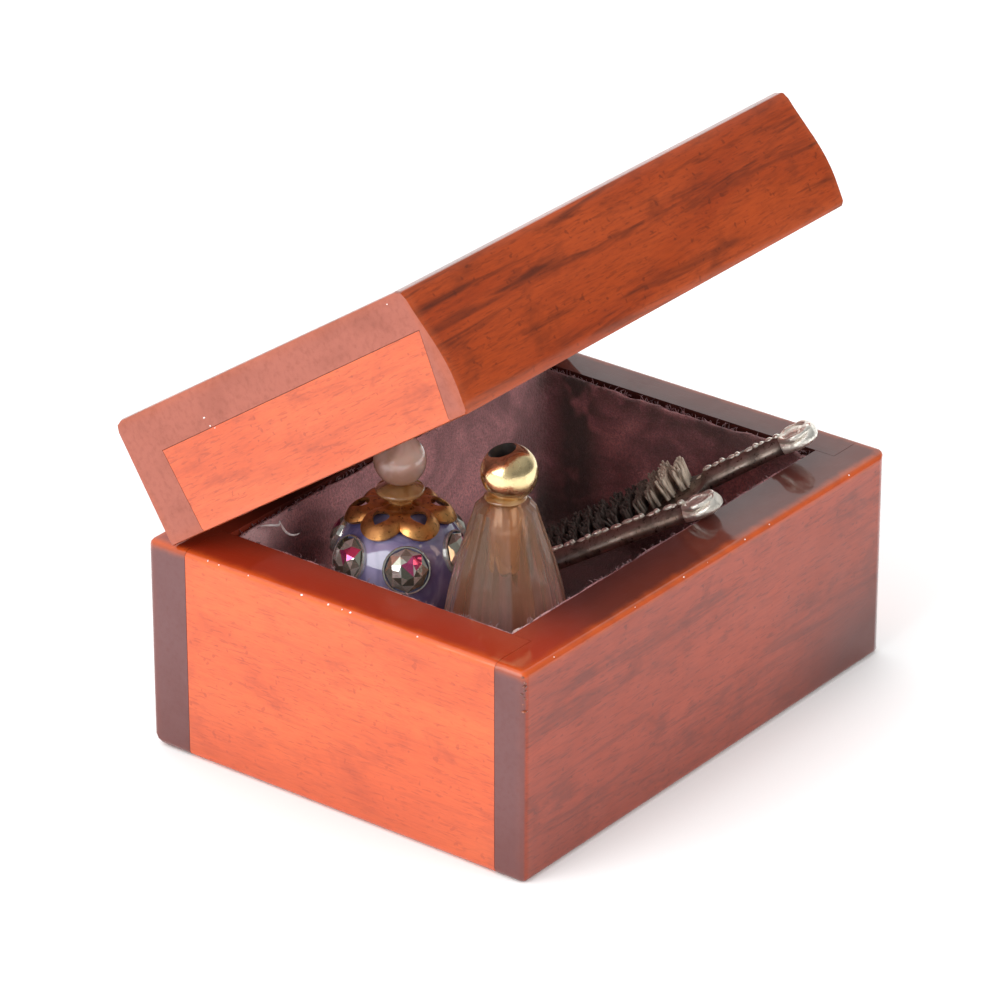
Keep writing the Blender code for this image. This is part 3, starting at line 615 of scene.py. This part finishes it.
def smooth_cad(obj):
    """Round faces shade round and real edges stay crisp; no point moves."""
    normals = obj.data.attributes.get("custom_normal")
    if normals:
        obj.data.attributes.remove(normals)
    obj.data.shade_smooth()
    weld = obj.modifiers.new("weld", "WELD")
    weld.merge_threshold = 1e-6
    split = obj.modifiers.new("crisp", "EDGE_SPLIT")
    split.split_angle = math.radians(35)
    obj.modifiers.new("flat_faces", "WEIGHTED_NORMAL")


def finish_cad(mats):
    """Gives its finish to each CAD piece that still shows."""
    finishes = {
        "front_board": "red_wood", "back_board": "red_wood", "bottom_board": "red_wood",
        "left_end_board": "orange_wood", "right_end_board": "orange_wood",
        "lid_shell": "lid_wood", "lid_left_end": "lid_end_wood", "lid_right_end": "lid_end_wood",
        "bottle_foot": "old_gold", "mirror_glass": "mirror",
    }
    for name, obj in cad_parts.items():
        finish = "brass" if "hinge" in name or "nail" in name else finishes.get(name)
        if finish:
            obj.material_slots[0].material = mats[finish]
            smooth_cad(obj)


# ---------------- velvet

def cloth_box(low, high, open_top, cuts, swell):
    """Cloth pressed into a box-shaped hollow: puffed faces, rounded folds and a wavy edge."""
    bm = bmesh.new()
    middle = (low + high) / 2
    place = Matrix.Translation(middle) @ Matrix.Diagonal((*(high - low), 1.0))
    bmesh.ops.create_cube(bm, size=1.0, matrix=place)
    mouth_z = high.z if open_top else low.z
    mouth = [face for face in bm.faces if all(abs(v.co.z - mouth_z) < 1e-6 for v in face.verts)]
    bmesh.ops.delete(bm, geom=mouth, context="FACES_ONLY")
    bmesh.ops.subdivide_edges(bm, edges=bm.edges[:], cuts=cuts, use_grid_fill=True)
    inner = [vert for vert in bm.verts if not vert.is_boundary]
    for _round in range(4):
        bmesh.ops.smooth_vert(bm, verts=inner, factor=0.5, use_axis_x=True, use_axis_y=True,
                              use_axis_z=True)
    for vert in bm.verts:
        inward = (middle - vert.co).normalized()
        puff = 0.5 + noise.noise(vert.co * 0.45)
        fine = noise.noise(vert.co * 2.3)
        vert.co += inward * (swell * puff + 0.05 * fine)
        if vert.is_boundary:
            vert.co.z += 0.09 * noise.noise(vert.co * 1.4)
    bmesh.ops.recalc_face_normals(bm, faces=bm.faces)
    return bm


def thicken(obj):
    """Gives a cloth its thickness, inward from its drawn face."""
    solid = obj.modifiers.new("thickness", "SOLIDIFY")
    solid.thickness = CLOTH_THICK * MM
    solid.offset = 1.0
    return obj


def make_linings(mats):
    """One cloth lines the well and one the lid, each drawn as an open box, the shape a cloth cut as a
    cross and folded up takes.
    """
    all_round = Vector((CLOTH_INSET,) * 3)
    sides_only = Vector((CLOTH_INSET, CLOTH_INSET, 0.0))
    bm = cloth_box(WELL_LOW + all_round, WELL_HIGH - sides_only, True, 44, 0.09)
    nodes = [f"{side}_lining" for side in ("floor", "front", "back", "left", "right")]
    well = thicken(made_piece("well_velvet", bm, [mats["velvet"]], "chest", nodes))
    bm = cloth_box(ROOM_LOW + sides_only, ROOM_HIGH - all_round, False, 40, 0.07)
    nodes = [f"lid_{side}_lining" for side in ("top", "front", "back", "left", "right")]
    lining = made_piece("lid_velvet", bm, [mats["lid_velvet"]], "lid", nodes, opened())
    thicken(lining)


def opened():
    """Turns a piece drawn on the shut lid to the lid at rest, open."""
    turn = Matrix.Rotation(-LID_OPEN, 4, "X")
    return Matrix.Translation(HINGE) @ turn @ Matrix.Translation(-HINGE)


def make_lint(mats):
    """Loose pile along the top edge of the well's lining."""
    draw = random.Random(5)
    bm = bmesh.new()
    inset = 0.12
    top = 9.28
    x0, x1 = WELL_LOW.x + inset, WELL_HIGH.x - inset
    y0, y1 = WELL_LOW.y + inset, WELL_HIGH.y - inset
    rim = [(x0, y0), (x1, y0), (x1, y1), (x0, y1), (x0, y0)]
    for (ax, ay), (bx, by) in zip(rim, rim[1:]):
        length = math.hypot(bx - ax, by - ay)
        for _fibre in range(int(length * 14)):
            share = draw.random()
            start = Vector((ax + (bx - ax) * share, ay + (by - ay) * share, top))
            start += scatter(draw, 0.12, 0.12)
            reach = Vector((draw.uniform(-0.2, 0.2), draw.uniform(-0.2, 0.2), draw.uniform(0.05, 0.3)))
            bend = scatter(draw, 0.1, 0.1, -0.05)
            points = [start, start + reach * 0.6, start + reach + bend]
            ring_solid(bm, tube_rings(points, (0.022, 0.018, 0.008), 3))
    made_piece("velvet_pile_edge", bm, [mats["plum_lint"]], "chest")


# ---------------- crystal bottle

def crystal_profile():
    """The bell outline: (radius, height) from the base up."""
    steps = 36
    points = [(0.0, CRYSTAL_BASE), (2.75, CRYSTAL_BASE)]
    low, high = CRYSTAL_BASE + 0.12, CRYSTAL_TOP - 0.3
    for step in range(steps + 1):
        height = low + (high - low) * step / steps
        drop = max(12.9 - height, 0.0)
        points.append((3.05 - 1.85 * math.exp(-((drop / 4.1) ** 1.35)), height))
    for radius, rise in ((1.15, -0.17), (1.02, -0.06), (0.8, 0.0), (0.0, 0.02)):
        points.append((radius, CRYSTAL_TOP + rise))
    return points


def flute(turn):
    """Broad facets, ground a little hollow, that meet in softened ridges."""
    half = math.pi / FLUTES
    local = turn % (2 * half) - half
    flat = math.cos(half) / math.cos(local)
    hollow = 0.03 * math.cos(local / half * math.pi / 2)
    return min(flat - hollow, 0.992)


def tint_flutes(bm):
    """Gives each flute a tone of its own, from amber (0) to clear (1)."""
    draw = random.Random(9)
    tones = [draw.random() for _flute in range(FLUTES)]
    band = bm.verts.layers.float.new("band")
    for vert in bm.verts:
        turn = math.atan2(vert.co.y, vert.co.x) % (2 * math.pi)
        vert[band] = tones[int(FLUTES * turn / (2 * math.pi)) % FLUTES]


def make_crystal(mats):
    """The fluted bottle with its amber peg and collar, and the ball that stops it."""
    place = Matrix.Translation(CRYSTAL_AT)
    bm = bmesh.new()
    ring_solid(bm, turned_rings(crystal_profile(), FLUTES * 10, flute))
    tint_flutes(bm)
    body = made_piece("crystal_body", bm, [mats["crystal"]], "chest",
                      ["crystal_bottle"], place)
    sharpen(body, 20)
    peg = [(0.0, 9.5), (0.22, 9.52), (0.4, 9.75), (0.55, 11.0), (0.62, 12.7), (0.0, 12.75)]
    turned_piece("stopper_peg", peg, 32, mats["amber"], (), place)
    collar = [(0.0, 12.86), (0.72, 12.86), (0.86, 12.9), (0.88, 12.98), (0.7, 13.08), (0.0, 13.1)]
    turned_piece("stopper_collar", collar, 40, mats["amber"], (), place)
    make_ball(mats)


def make_ball(mats):
    """A gilt bead with a drilled hole that stands as the bottle's stopper."""
    points = []
    steps = 30
    lip = math.asin(BORE_R / BALL_R)
    for step in range(steps + 1):
        angle = lip + (math.pi - 2 * lip) * step / steps
        points.append((BALL_R * math.sin(angle), -BALL_R * math.cos(angle)))
    inner = BORE_R - 0.07
    top = points[-1][1]
    points += [(BORE_R - 0.03, top + 0.015), (inner, top - 0.03), (inner, -top + 0.03),
               (BORE_R - 0.03, -top - 0.015)]
    bm = bmesh.new()
    ring_solid(bm, turned_rings(points, 48), closed=True)
    for face in bm.faces:
        if face.calc_center_median().xy.length < BORE_R - 0.04:
            face.material_index = 1
    axis = Vector((0.0, 0.0, 1.0)) + BALL_LEAN
    turn = axis.to_track_quat("Z", "Y").to_matrix().to_4x4()
    ball = made_piece("gold_ball", bm, [mats["gold"], mats["bore_dark"]], "chest",
                      ["gold_ball_stopper"], Matrix.Translation(BALL_AT) @ turn)
    sharpen(ball, 50)


# ---------------- blue bottle

def make_blue_bottle(mats):
    """The blue bead with its ring of stones, its cap and its stopper."""
    place = Matrix.Translation(BEAD_AT)
    bead = ball_profile(BEAD_R, BEAD_LOW, BEAD_R, 40)
    turned_piece("blue_bead", bead, 72, mats["blue_glass"], ["blue_bottle"], place)
    for number in range(STONES):
        make_stone(number, mats)
    make_cap(mats, place)
    make_stopper(mats, place)


def stone_place(number):
    """Where a stone sits on the bead; its own Z points straight out."""
    turn = math.radians(FIRST_STONE_DEG + 360.0 * number / STONES)
    out = direction(turn, math.radians(STONE_RISE_DEG))
    spin = out.to_track_quat("Z", "Y").to_matrix().to_4x4()
    return Matrix.Translation(BEAD_AT + out * (BEAD_R - 0.06)) @ spin


def make_stone(number, mats):
    """A round-cut stone: a table, star and kite facets, a girdle and a raised foil rim."""
    draw = random.Random(40 + number)
    bm = bmesh.new()
    levels = ((0.36, 0.42, 0.0), (0.66, 0.3, 0.5), (0.9, 0.1, 0.0), (0.92, -0.1, 0.0))
    ring_solid(bm, [[on_circle(radius, turn, height) for turn in turns(8, twist)]
                    for radius, height, twist in levels])
    bmesh.ops.triangulate(bm, faces=bm.faces)
    rim = [(0.9, -0.12), (0.98, -0.12), (1.0, 0.03), (0.97, 0.09), (0.92, 0.09)]
    ring_solid(bm, turned_rings(rim, 40), closed=True)
    # Painted reflections: each facet takes a light or dark tone, one a painted magenta glint and one a
    # painted white highlight; the raised rim keeps a pale tone of its own.
    tones = ((0.3, 0.3, 0.24), (0.6, 0.6, 0.52), (0.16, 0.16, 0.12), (0.8, 0.79, 0.72))
    color = bm.loops.layers.float_color.new("facet")
    for face in bm.faces:
        middle = face.calc_center_median().xy
        tone = draw.choice(tones)
        if middle.length > 0.88:
            tone = (0.6, 0.6, 0.55)
        elif (middle - Vector((0.28, 0.3))).length < 0.3:
            tone = (0.6, 0.06, 0.22)
        elif (middle - Vector((-0.4, -0.05))).length < 0.25:
            tone = (0.95, 0.95, 0.9)
        for loop in face.loops:
            loop[color] = (*tone, 1.0)
    stone = made_piece(f"stone_{number + 1}", bm, [mats["rhinestone"]], "chest",
                       [f"rhinestone_{number + 1}"], stone_place(number))
    stone.data.shade_flat()


def cap_latitude(turn, level):
    """From the scalloped hem (level 0) up to the rim of the neck (level 1)."""
    lobe = abs(math.cos(CAP_LOBES * turn / 2))
    hem = 54 - 11 * lobe ** 0.8
    return math.radians(hem + (80 - hem) * level)


def cap_shell():
    """The cap's closed body: petals swell out between creases, and the hem stands off the bead."""
    levels = 16
    rings = []
    for side in (0, 1):
        for step in range(levels + 1):
            level = (step if side == 0 else levels - step) / levels
            ring = []
            for turn in turns(CAP_LOBES * 20):
                petal = abs(math.cos(CAP_LOBES * turn / 2))
                lift = 0.34 * math.sin(math.pi * min(1.0, level * 1.1 + 0.12)) * (0.5 + 0.5 * petal)
                radius = BEAD_R + 0.05 + lift + (0.0 if side == 0 else 0.1 + 0.05 * petal ** 0.6)
                latitude = cap_latitude(turn, level)
                ring.append(direction(turn, latitude) * radius)
            rings.append(ring)
    bm = bmesh.new()
    ring_solid(bm, rings, closed=True)
    return bm


def on_cap(turn):
    """Directions halfway up the cap: out from the bead, around it and up it."""
    out = direction(turn, math.radians(60))
    across = Vector((-math.sin(turn), math.cos(turn), 0.0))
    return out, across, out.cross(across)


def teardrop_cutter(bm, turn):
    """A teardrop prism that pierces one petal of the cap."""
    out, across, up = on_cap(turn)
    low = []
    high = []
    for angle in turns(20):
        wide = 0.38 * math.sin(angle) * math.sin(angle / 2)
        tall = -0.4 * math.cos(angle)
        flat = across * wide * 1.25 + up * tall
        low.append(out * (BEAD_R - 0.3) + flat)
        high.append(out * (BEAD_R + 0.8) + flat)
    ring_solid(bm, [low, high])


def make_cap(mats, place):
    """The gilt cap: a petalled shell, pierced once in each petal, with a dot in each notch."""
    holes = bmesh.new()
    for turn in turns(CAP_LOBES):
        teardrop_cutter(holes, turn)
    cutter = mesh_object("cutter", holes)
    shell = mesh_object("shell", cap_shell())
    cut = shell.modifiers.new("pierce", "BOOLEAN")
    cut.solver = "EXACT"
    cut.operation = "DIFFERENCE"
    cut.object = cutter
    bpy.context.view_layer.update()
    result = bpy.data.meshes.new_from_object(shell.evaluated_get(bpy.context.evaluated_depsgraph_get()))
    pierced = bmesh.new()
    pierced.from_mesh(result)
    for obj in (cutter, shell):
        bpy.data.objects.remove(obj, do_unlink=True)
    for turn in turns(CAP_LOBES, 0.5):
        stud_on_cap(pierced, turn)
    cap = made_piece("pierced_cap", pierced, [mats["old_gold"]], "chest",
                     ["filigree_cap"], place @ Matrix.Rotation(CAP_TURN, 4, "Z"))
    sharpen(cap, 40)


def stud_on_cap(bm, turn):
    """A small raised dot in the notch between two petals."""
    out, across, up = on_cap(turn)
    centre = out * (BEAD_R + 0.13)
    lump(bm, centre, (across * 0.13, up * 0.17, out * 0.1))


def make_stopper(mats, place):
    """The amber neck and the pearl that closes the blue bottle."""
    neck = [(0.0, 0.0), (0.52, 0.0), (0.56, 0.3), (0.72, 0.34), (0.98, 0.5), (1.02, 0.62),
            (0.96, 0.72), (0.72, 0.78), (0.6, 0.86), (0.0, 0.88)]
    neck = [(radius, height + BEAD_R + 0.02) for radius, height in neck]
    sharpen(turned_piece("amber_neck", neck, 48, mats["amber"], ["bottle_neck"], place), 50)
    pearl = ball_profile(PEARL_R, PEARL_R * 0.98, PEARL_R * 0.98, 28)
    lift = Matrix.Translation((0.0, 0.0, PEARL_Z - BEAD_AT.z))
    turned_piece("pearl_ball", pearl, 48, mats["pearl"], ["pearl_stopper"], place @ lift)


# ---------------- mirror and brush

def tool_frame(tip, heading_deg, fall_deg):
    """Local X runs from a handle's tip towards its head, Z out of its upper face."""
    heading = math.radians(180 - heading_deg)
    fall = math.radians(fall_deg)
    ahead = Vector((math.cos(heading), math.sin(heading), 0.0))
    run = ahead * math.cos(fall) - Vector((0.0, 0.0, math.sin(fall)))
    across = Vector((-ahead.y, ahead.x, 0.0))
    face = run.cross(across)
    turn = Matrix((run, across, face)).transposed().to_4x4()
    return Matrix.Translation(tip) @ turn


MIRROR_FRAME = tool_frame((3.15, -7.68, 10.22), 72.0, 29.5)
BRUSH_FRAME = tool_frame((10.03, -7.71, 10.85), 60.0, 30.5)
MIRROR_STATIONS = ((0.0, 0.4, 0.2), (0.25, 0.66, 0.3), (0.8, 0.75, 0.33), (1.35, 0.66, 0.3),
                   (1.7, 0.5, 0.28), (3.5, 0.5, 0.3), (7.5, 0.55, 0.3), (10.0, 0.62, 0.3),
                   (11.1, 0.5, 0.3), (12.6, 0.5, 0.3))
BRUSH_STATIONS = ((0.0, 0.38, 0.2), (0.3, 0.66, 0.3), (0.8, 0.74, 0.34), (1.3, 0.66, 0.3),
                  (1.7, 0.5, 0.28), (3.6, 0.5, 0.3), (5.0, 0.55, 0.32), (5.6, 0.95, 0.34),
                  (6.6, 1.4, 0.36), (8.5, 1.55, 0.38), (12.0, 1.55, 0.38), (14.6, 1.35, 0.36),
                  (15.8, 0.9, 0.3), (16.3, 0.45, 0.2))
TIP_END = 1.5                # how far the polished medallion reaches along a handle
CREST_START = 1.6
HEAD_X = 13.9                # the middle of the mirror's round head


def station_at(stations, x):
    """Half width and half thickness at x, eased between the given stations."""
    for (x0, w0, t0), (x1, w1, t1) in zip(stations, stations[1:]):
        if x <= x1:
            share = max(0.0, (x - x0) / (x1 - x0))
            ease = share * share * (3 - 2 * share)
            return w0 + (w1 - w0) * ease, t0 + (t1 - t0) * ease
    return stations[-1][1], stations[-1][2]


def cast_bar(bm, stations):
    """The cast handle: a smooth roof-like back that rises to a crest along its middle."""
    length = stations[-1][0]
    steps = int(length * 6)
    rings = []
    for step in range(steps + 1):
        x = length * step / steps
        half_width, half_thick = station_at(stations, x)
        crest = crest_height(stations, x)
        ring = []
        for turn in turns(24, 0.5):
            y = half_width * math.copysign(abs(math.cos(turn)) ** 0.7, math.cos(turn))
            z = half_thick * math.copysign(abs(math.sin(turn)) ** 0.6, math.sin(turn))
            if z > 0:
                z = 0.3 * z + crest * (1 - abs(y / half_width)) ** 0.7
            ring.append(Vector((x, y, z)))
        rings.append(ring)
    ring_solid(bm, rings, 0)
    for face in bm.faces:
        if face.calc_center_median().x < TIP_END:
            face.material_index = 1


def crest_height(stations, x):
    """The crest fades at the handle's tip and where the handle widens into its head."""
    half_width, half_thick = station_at(stations, x)
    narrow = max(0.0, min(1.0, (0.85 - half_width) / 0.3))
    return half_thick * 0.7 + 0.32 * narrow


def beaded_crest(bm, stations, end, seed):
    """Cast beads and small scrolls that follow one another along the crest."""
    draw = random.Random(seed)
    x = CREST_START
    while x < end:
        size = draw.uniform(0.13, 0.3)
        top = crest_height(stations, x) + draw.uniform(-0.05, 0.03)
        centre = Vector((x, draw.uniform(-0.04, 0.04), top))
        lean = draw.uniform(-0.04, 0.04)
        tall = draw.uniform(0.1, 0.17)
        axes = (Vector((size, lean, 0.0)), Vector((-lean, 0.14, 0.0)), Vector((0.0, 0.0, tall)))
        lump(bm, centre, axes, 9, 6, 1)
        x += size * 1.9


def medallion(bm, stations):
    """The raised oval ring and boss that ends a handle."""
    _half_width, half_thick = station_at(stations, 0.8)
    rings = []
    for turn in turns(32):
        centre = Vector((0.82 + 0.66 * math.cos(turn), 0.6 * math.sin(turn), half_thick - 0.02))
        outward = on_circle(1.0, turn)
        wobble = 1.0 + 0.15 * math.sin(5 * turn)
        ring = []
        for angle in turns(8):
            ring.append(centre + outward * (0.14 * wobble * math.cos(angle))
                        + Vector((0.0, 0.0, 0.16 * wobble * math.sin(angle))))
        rings.append(ring)
    ring_solid(bm, rings, 1, closed=True)
    boss = Vector((0.82, 0.0, half_thick - 0.04))
    axes = (Vector((0.52, 0.06, 0.0)), Vector((0.0, 0.44, 0.0)), Vector((0.0, 0.0, 0.2)))
    lump(bm, boss, axes, 16, 8, 1)


def cast_handle(stations, crest_end, seed):
    """A handle's mesh: its bar, the beads along its crest and its medallion."""
    bm = bmesh.new()
    cast_bar(bm, stations)
    beaded_crest(bm, stations, crest_end, seed)
    medallion(bm, stations)
    return bm


def silver_piece(name, bm, mats, node, place):
    """A cast piece in tarnished silver, with its raised work bright."""
    metals = [mats["silver"], mats["bright_silver"]]
    sharpen(made_piece(name, bm, metals, "chest", [node], place), 55)


def make_mirror(mats):
    """The hand mirror: a cast handle and a round frame with a rope of beads about the glass."""
    bm = cast_handle(MIRROR_STATIONS, 11.8, 3)
    rim = [(0.0, -0.3), (0.55, -0.34), (0.93, -0.28), (1.0, -0.1), (1.0, 0.14), (0.96, 0.3),
           (0.9, 0.35), (0.84, 0.3), (0.8, 0.2), (0.8, 0.03), (0.0, 0.02)]
    rings = turned_rings(rim, 56)
    ring_solid(bm, [[Vector((HEAD_X + p.x * 2.1, p.y * 1.85, p.z)) for p in ring] for ring in rings])
    for turn in turns(40):
        centre = Vector((HEAD_X + 1.9 * math.cos(turn), 1.67 * math.sin(turn), 0.33))
        lump(bm, centre, half_axes(0.1, 0.1, 0.1), 6, 4, 1)
    silver_piece("cast_mirror", bm, mats, "mirror_frame", MIRROR_FRAME)


def make_brush(mats):
    """The hairbrush: a cast back and handle, with the bristles set into its head."""
    bm = cast_handle(BRUSH_STATIONS, 5.4, 7)
    silver_piece("cast_brush", bm, mats, "brush_body", BRUSH_FRAME)
    make_bristles(mats)


def make_bristles(mats):
    """Tufts of bristle in rows; the first ones by the handle are pale and tall, then painted shade
    darkens them.
    """
    draw = random.Random(11)
    bm = bmesh.new()
    pale = bm.verts.layers.float.new("pale")
    rows = 14
    # How pale and lit each row is: painted light on the first rows, painted shade on the rest.
    lit_paleness = (1.0, 1.0, 0.5, 0.2) + (0.0,) * (rows - 4)
    for row in range(rows):
        x = 6.05 + 8.7 * row / (rows - 1)
        half = min(1.0, 0.45 + 0.35 * row, 0.35 + 0.4 * (rows - 1 - row))
        for column in (-1, -0.6, -0.2, 0.2, 0.6, 1):
            root = Vector((x, column * half, 0.3))
            tuft(bm, root, draw, pale, lit_paleness[row], 0.55 + 0.45 * lit_paleness[row])
    made_piece("bristle_tufts", bm, [mats["bristle"]], "chest", ["brush_bristles"],
               BRUSH_FRAME)


def tuft(bm, root, draw, layer, lit_paleness, height):
    """Twelve strands that stand in one hole and lean a little apart."""
    for _strand in range(12):
        lean = scatter(draw, 0.16, 0.16)
        foot = root + scatter(draw, 0.16, 0.14)
        tall = height * draw.uniform(0.85, 1.05)
        points = [foot, foot + lean * 0.4 + Vector((0, 0, tall * 0.5)),
                  foot + lean + Vector((0, 0, tall))]
        before = len(bm.verts)
        ring_solid(bm, tube_rings(points, (0.07, 0.07, 0.05), 4))
        bm.verts.ensure_lookup_table()
        for vert in bm.verts[before:]:
            vert[layer] = lit_paleness


# ---------------- small marks

def blob(bm, centre, size, seed):
    """An irregular drop or speck."""
    draw = random.Random(seed)
    start = len(bm.verts)
    axes = half_axes(size, size * draw.uniform(0.6, 1.0), size * draw.uniform(0.4, 0.7))
    lump(bm, centre, axes, 12, 8)
    bm.verts.ensure_lookup_table()
    for vert in bm.verts[start:]:
        vert.co += (vert.co - centre) * (0.35 * noise.noise(vert.co * 4.0))


def specks(name, drops, mat, body, slot_name, place=None):
    """One piece made of small drops, each given as its centre, size and seed."""
    bm = bmesh.new()
    for centre, size, seed in drops:
        blob(bm, Vector(centre), size, seed)
    made_piece(name, bm, [mat], body, (), place)


def make_marks(mats):
    """Glue outside and inside the near corner, a stray hair and specks of polish."""
    draw = random.Random(21)
    drops = []
    for number in range(16):
        centre = (-12.59 + draw.uniform(-0.02, 0.1), -9.62 + draw.uniform(-0.02, 0.1),
                  9.3 - 0.1 * number + draw.uniform(-0.03, 0.03))
        drops.append((centre, draw.uniform(0.06, 0.12), number))
    specks("corner_glue", drops, mats["glue"], "chest", "red_wood")
    drops = []
    for number in range(5):
        centre = (-9.6 + draw.uniform(-0.2, 0.5), -6.95 + draw.uniform(-0.1, 0.1), 9.25)
        drops.append((centre, draw.uniform(0.1, 0.2), 30 + number))
    specks("inner_glue", drops, mats["white_glue"], "chest", "velvet")
    make_stray_hair(mats)
    make_lid_flecks(mats)
    make_rim_flecks(mats)


def make_stray_hair(mats):
    """A hooked white fibre caught at the well's back left corner."""
    bend = ((-0.9, 0.5, 0.27), (-0.45, 0.2, 0.26), (-0.1, 0.0, 0.1), (0.1, 0.3, 0.25), (0.05, 0.05, 0.0),
            (-0.02, -0.2, -0.2), (0.15, -0.5, -0.3), (0.4, -0.62, -0.2))
    start = Vector((-8.1, 6.35, 9.2))
    points = [start + Vector(step) for step in bend]
    radii = [0.03, 0.06, 0.07, 0.07, 0.07, 0.06, 0.05, 0.025]
    bm = bmesh.new()
    ring_solid(bm, tube_rings(points, radii, 8))
    hair = made_piece("stray_hair", bm, [mats["lint"]], "chest")
    hair.modifiers.new("soft", "SUBSURF").render_levels = 1


def make_lid_flecks(mats):
    """Specks of white polish left on the lid's end."""
    drops = []
    for number, (y, z) in enumerate(((3.1, 13.75), (3.0, 13.35), (2.82, 13.2), (-9.0, 14.7))):
        drops.append(((-12.76, y, z), 0.08 - 0.01 * number, 50 + number))
    specks("lid_flecks", drops, mats["lint"], "lid", "lid_wood", opened())


def make_rim_flecks(mats):
    """Specks of dry polish along the chest's outer top edges."""
    draw = random.Random(33)
    drops = []
    for number in range(9):
        centre = (-12.6, draw.uniform(-9.4, 7.5), 9.42)
        drops.append((centre, draw.uniform(0.035, 0.075), 60 + number))
    for number in range(7):
        centre = (draw.uniform(-12.0, 11.5), -9.62, 9.42)
        drops.append((centre, draw.uniform(0.03, 0.055), 80 + number))
    specks("rim_flecks", drops, mats["lint"], "chest", "red_wood")


# ---------------- the studio

def area_light(name, place, target, size, radiance):
    """A square soft box; its power follows from its size and how bright its face is."""
    light = bpy.data.lights.new(name, "AREA")
    light.size = size
    light.energy = radiance * math.pi * size * size
    obj = placed(name, light)
    obj.location = place
    obj.rotation_euler = (Vector(target) - Vector(place)).to_track_quat("-Z", "Y").to_euler()
    return obj


def make_world():
    """A white tent, brightest overhead, with the dark room showing at the front."""
    world = bpy.data.worlds.new("white_tent")
    bpy.context.scene.world = world
    world.use_nodes = True
    sky = Nodes(world.node_tree)
    where = sky.add("TexCoord").outputs["Generated"]
    overhead = sky.span(sky.facing(where, (0.0, 0.0, 1.0)), 0.2, 0.9, 0.85, 1.9)
    front = sky.span(sky.facing(where, (0.0, -0.94, 0.34)), 0.05, 0.6, 1.0, 0.25)
    background = sky.tree.nodes["Background"]
    sky.feed(background.inputs["Strength"], sky.calc("MULTIPLY", overhead, front))
    sky.feed(background.inputs["Color"], (1.0, 1.0, 1.0))


def make_studio():
    """The tent, a soft box on the left, a bounce in front and a pale floor."""
    make_world()
    middle = (0.0, 0.0, 0.01)
    area_light("left_box", (-0.28, 0.06, 0.16), middle, 0.24, 3.6)
    bounce = area_light("front_bounce", (0.02, -0.3, 0.18), middle, 0.26, 3.6)
    bounce.visible_glossy = False
    floor_bm = bmesh.new()
    bmesh.ops.create_grid(floor_bm, x_segments=2, y_segments=2, size=1.5)
    floor = mesh_object("floor", floor_bm)
    paint = Paint("floor_finish", Roughness=0.9, Specular_IOR_Level=0.2)
    paint.color(paint.mix(paint.noise(0.02), (0.93, 0.93, 0.93), (0.95, 0.95, 0.95)))
    floor.data.materials.append(paint.material)
    bpy.context.scene.view_settings.view_transform = "Standard"
    bpy.context.scene.view_settings.look = "None"


def make_camera():
    """A long lens, to the left of the front and a little above."""
    heading = math.radians(52.43)
    rise = math.radians(26.37)
    back = Vector((-math.sin(heading) * math.cos(rise), -math.cos(heading) * math.cos(rise),
                   math.sin(rise)))
    camera = placed("camera", bpy.data.cameras.new("camera"))
    camera.location = Vector((-168.01, -127.975, 113.91)) * MM
    camera.rotation_euler = (-back).to_track_quat("-Z", "Y").to_euler()
    camera.data.sensor_width = 36.0
    camera.data.lens = 203.94
    camera.data.clip_start = 0.001
    bpy.context.scene.camera = camera


make_camera()
make_studio()
finishes = make_materials()
finish_cad(finishes)
make_linings(finishes)
make_lint(finishes)
make_crystal(finishes)
make_blue_bottle(finishes)
make_mirror(finishes)
make_brush(finishes)
make_marks(finishes)
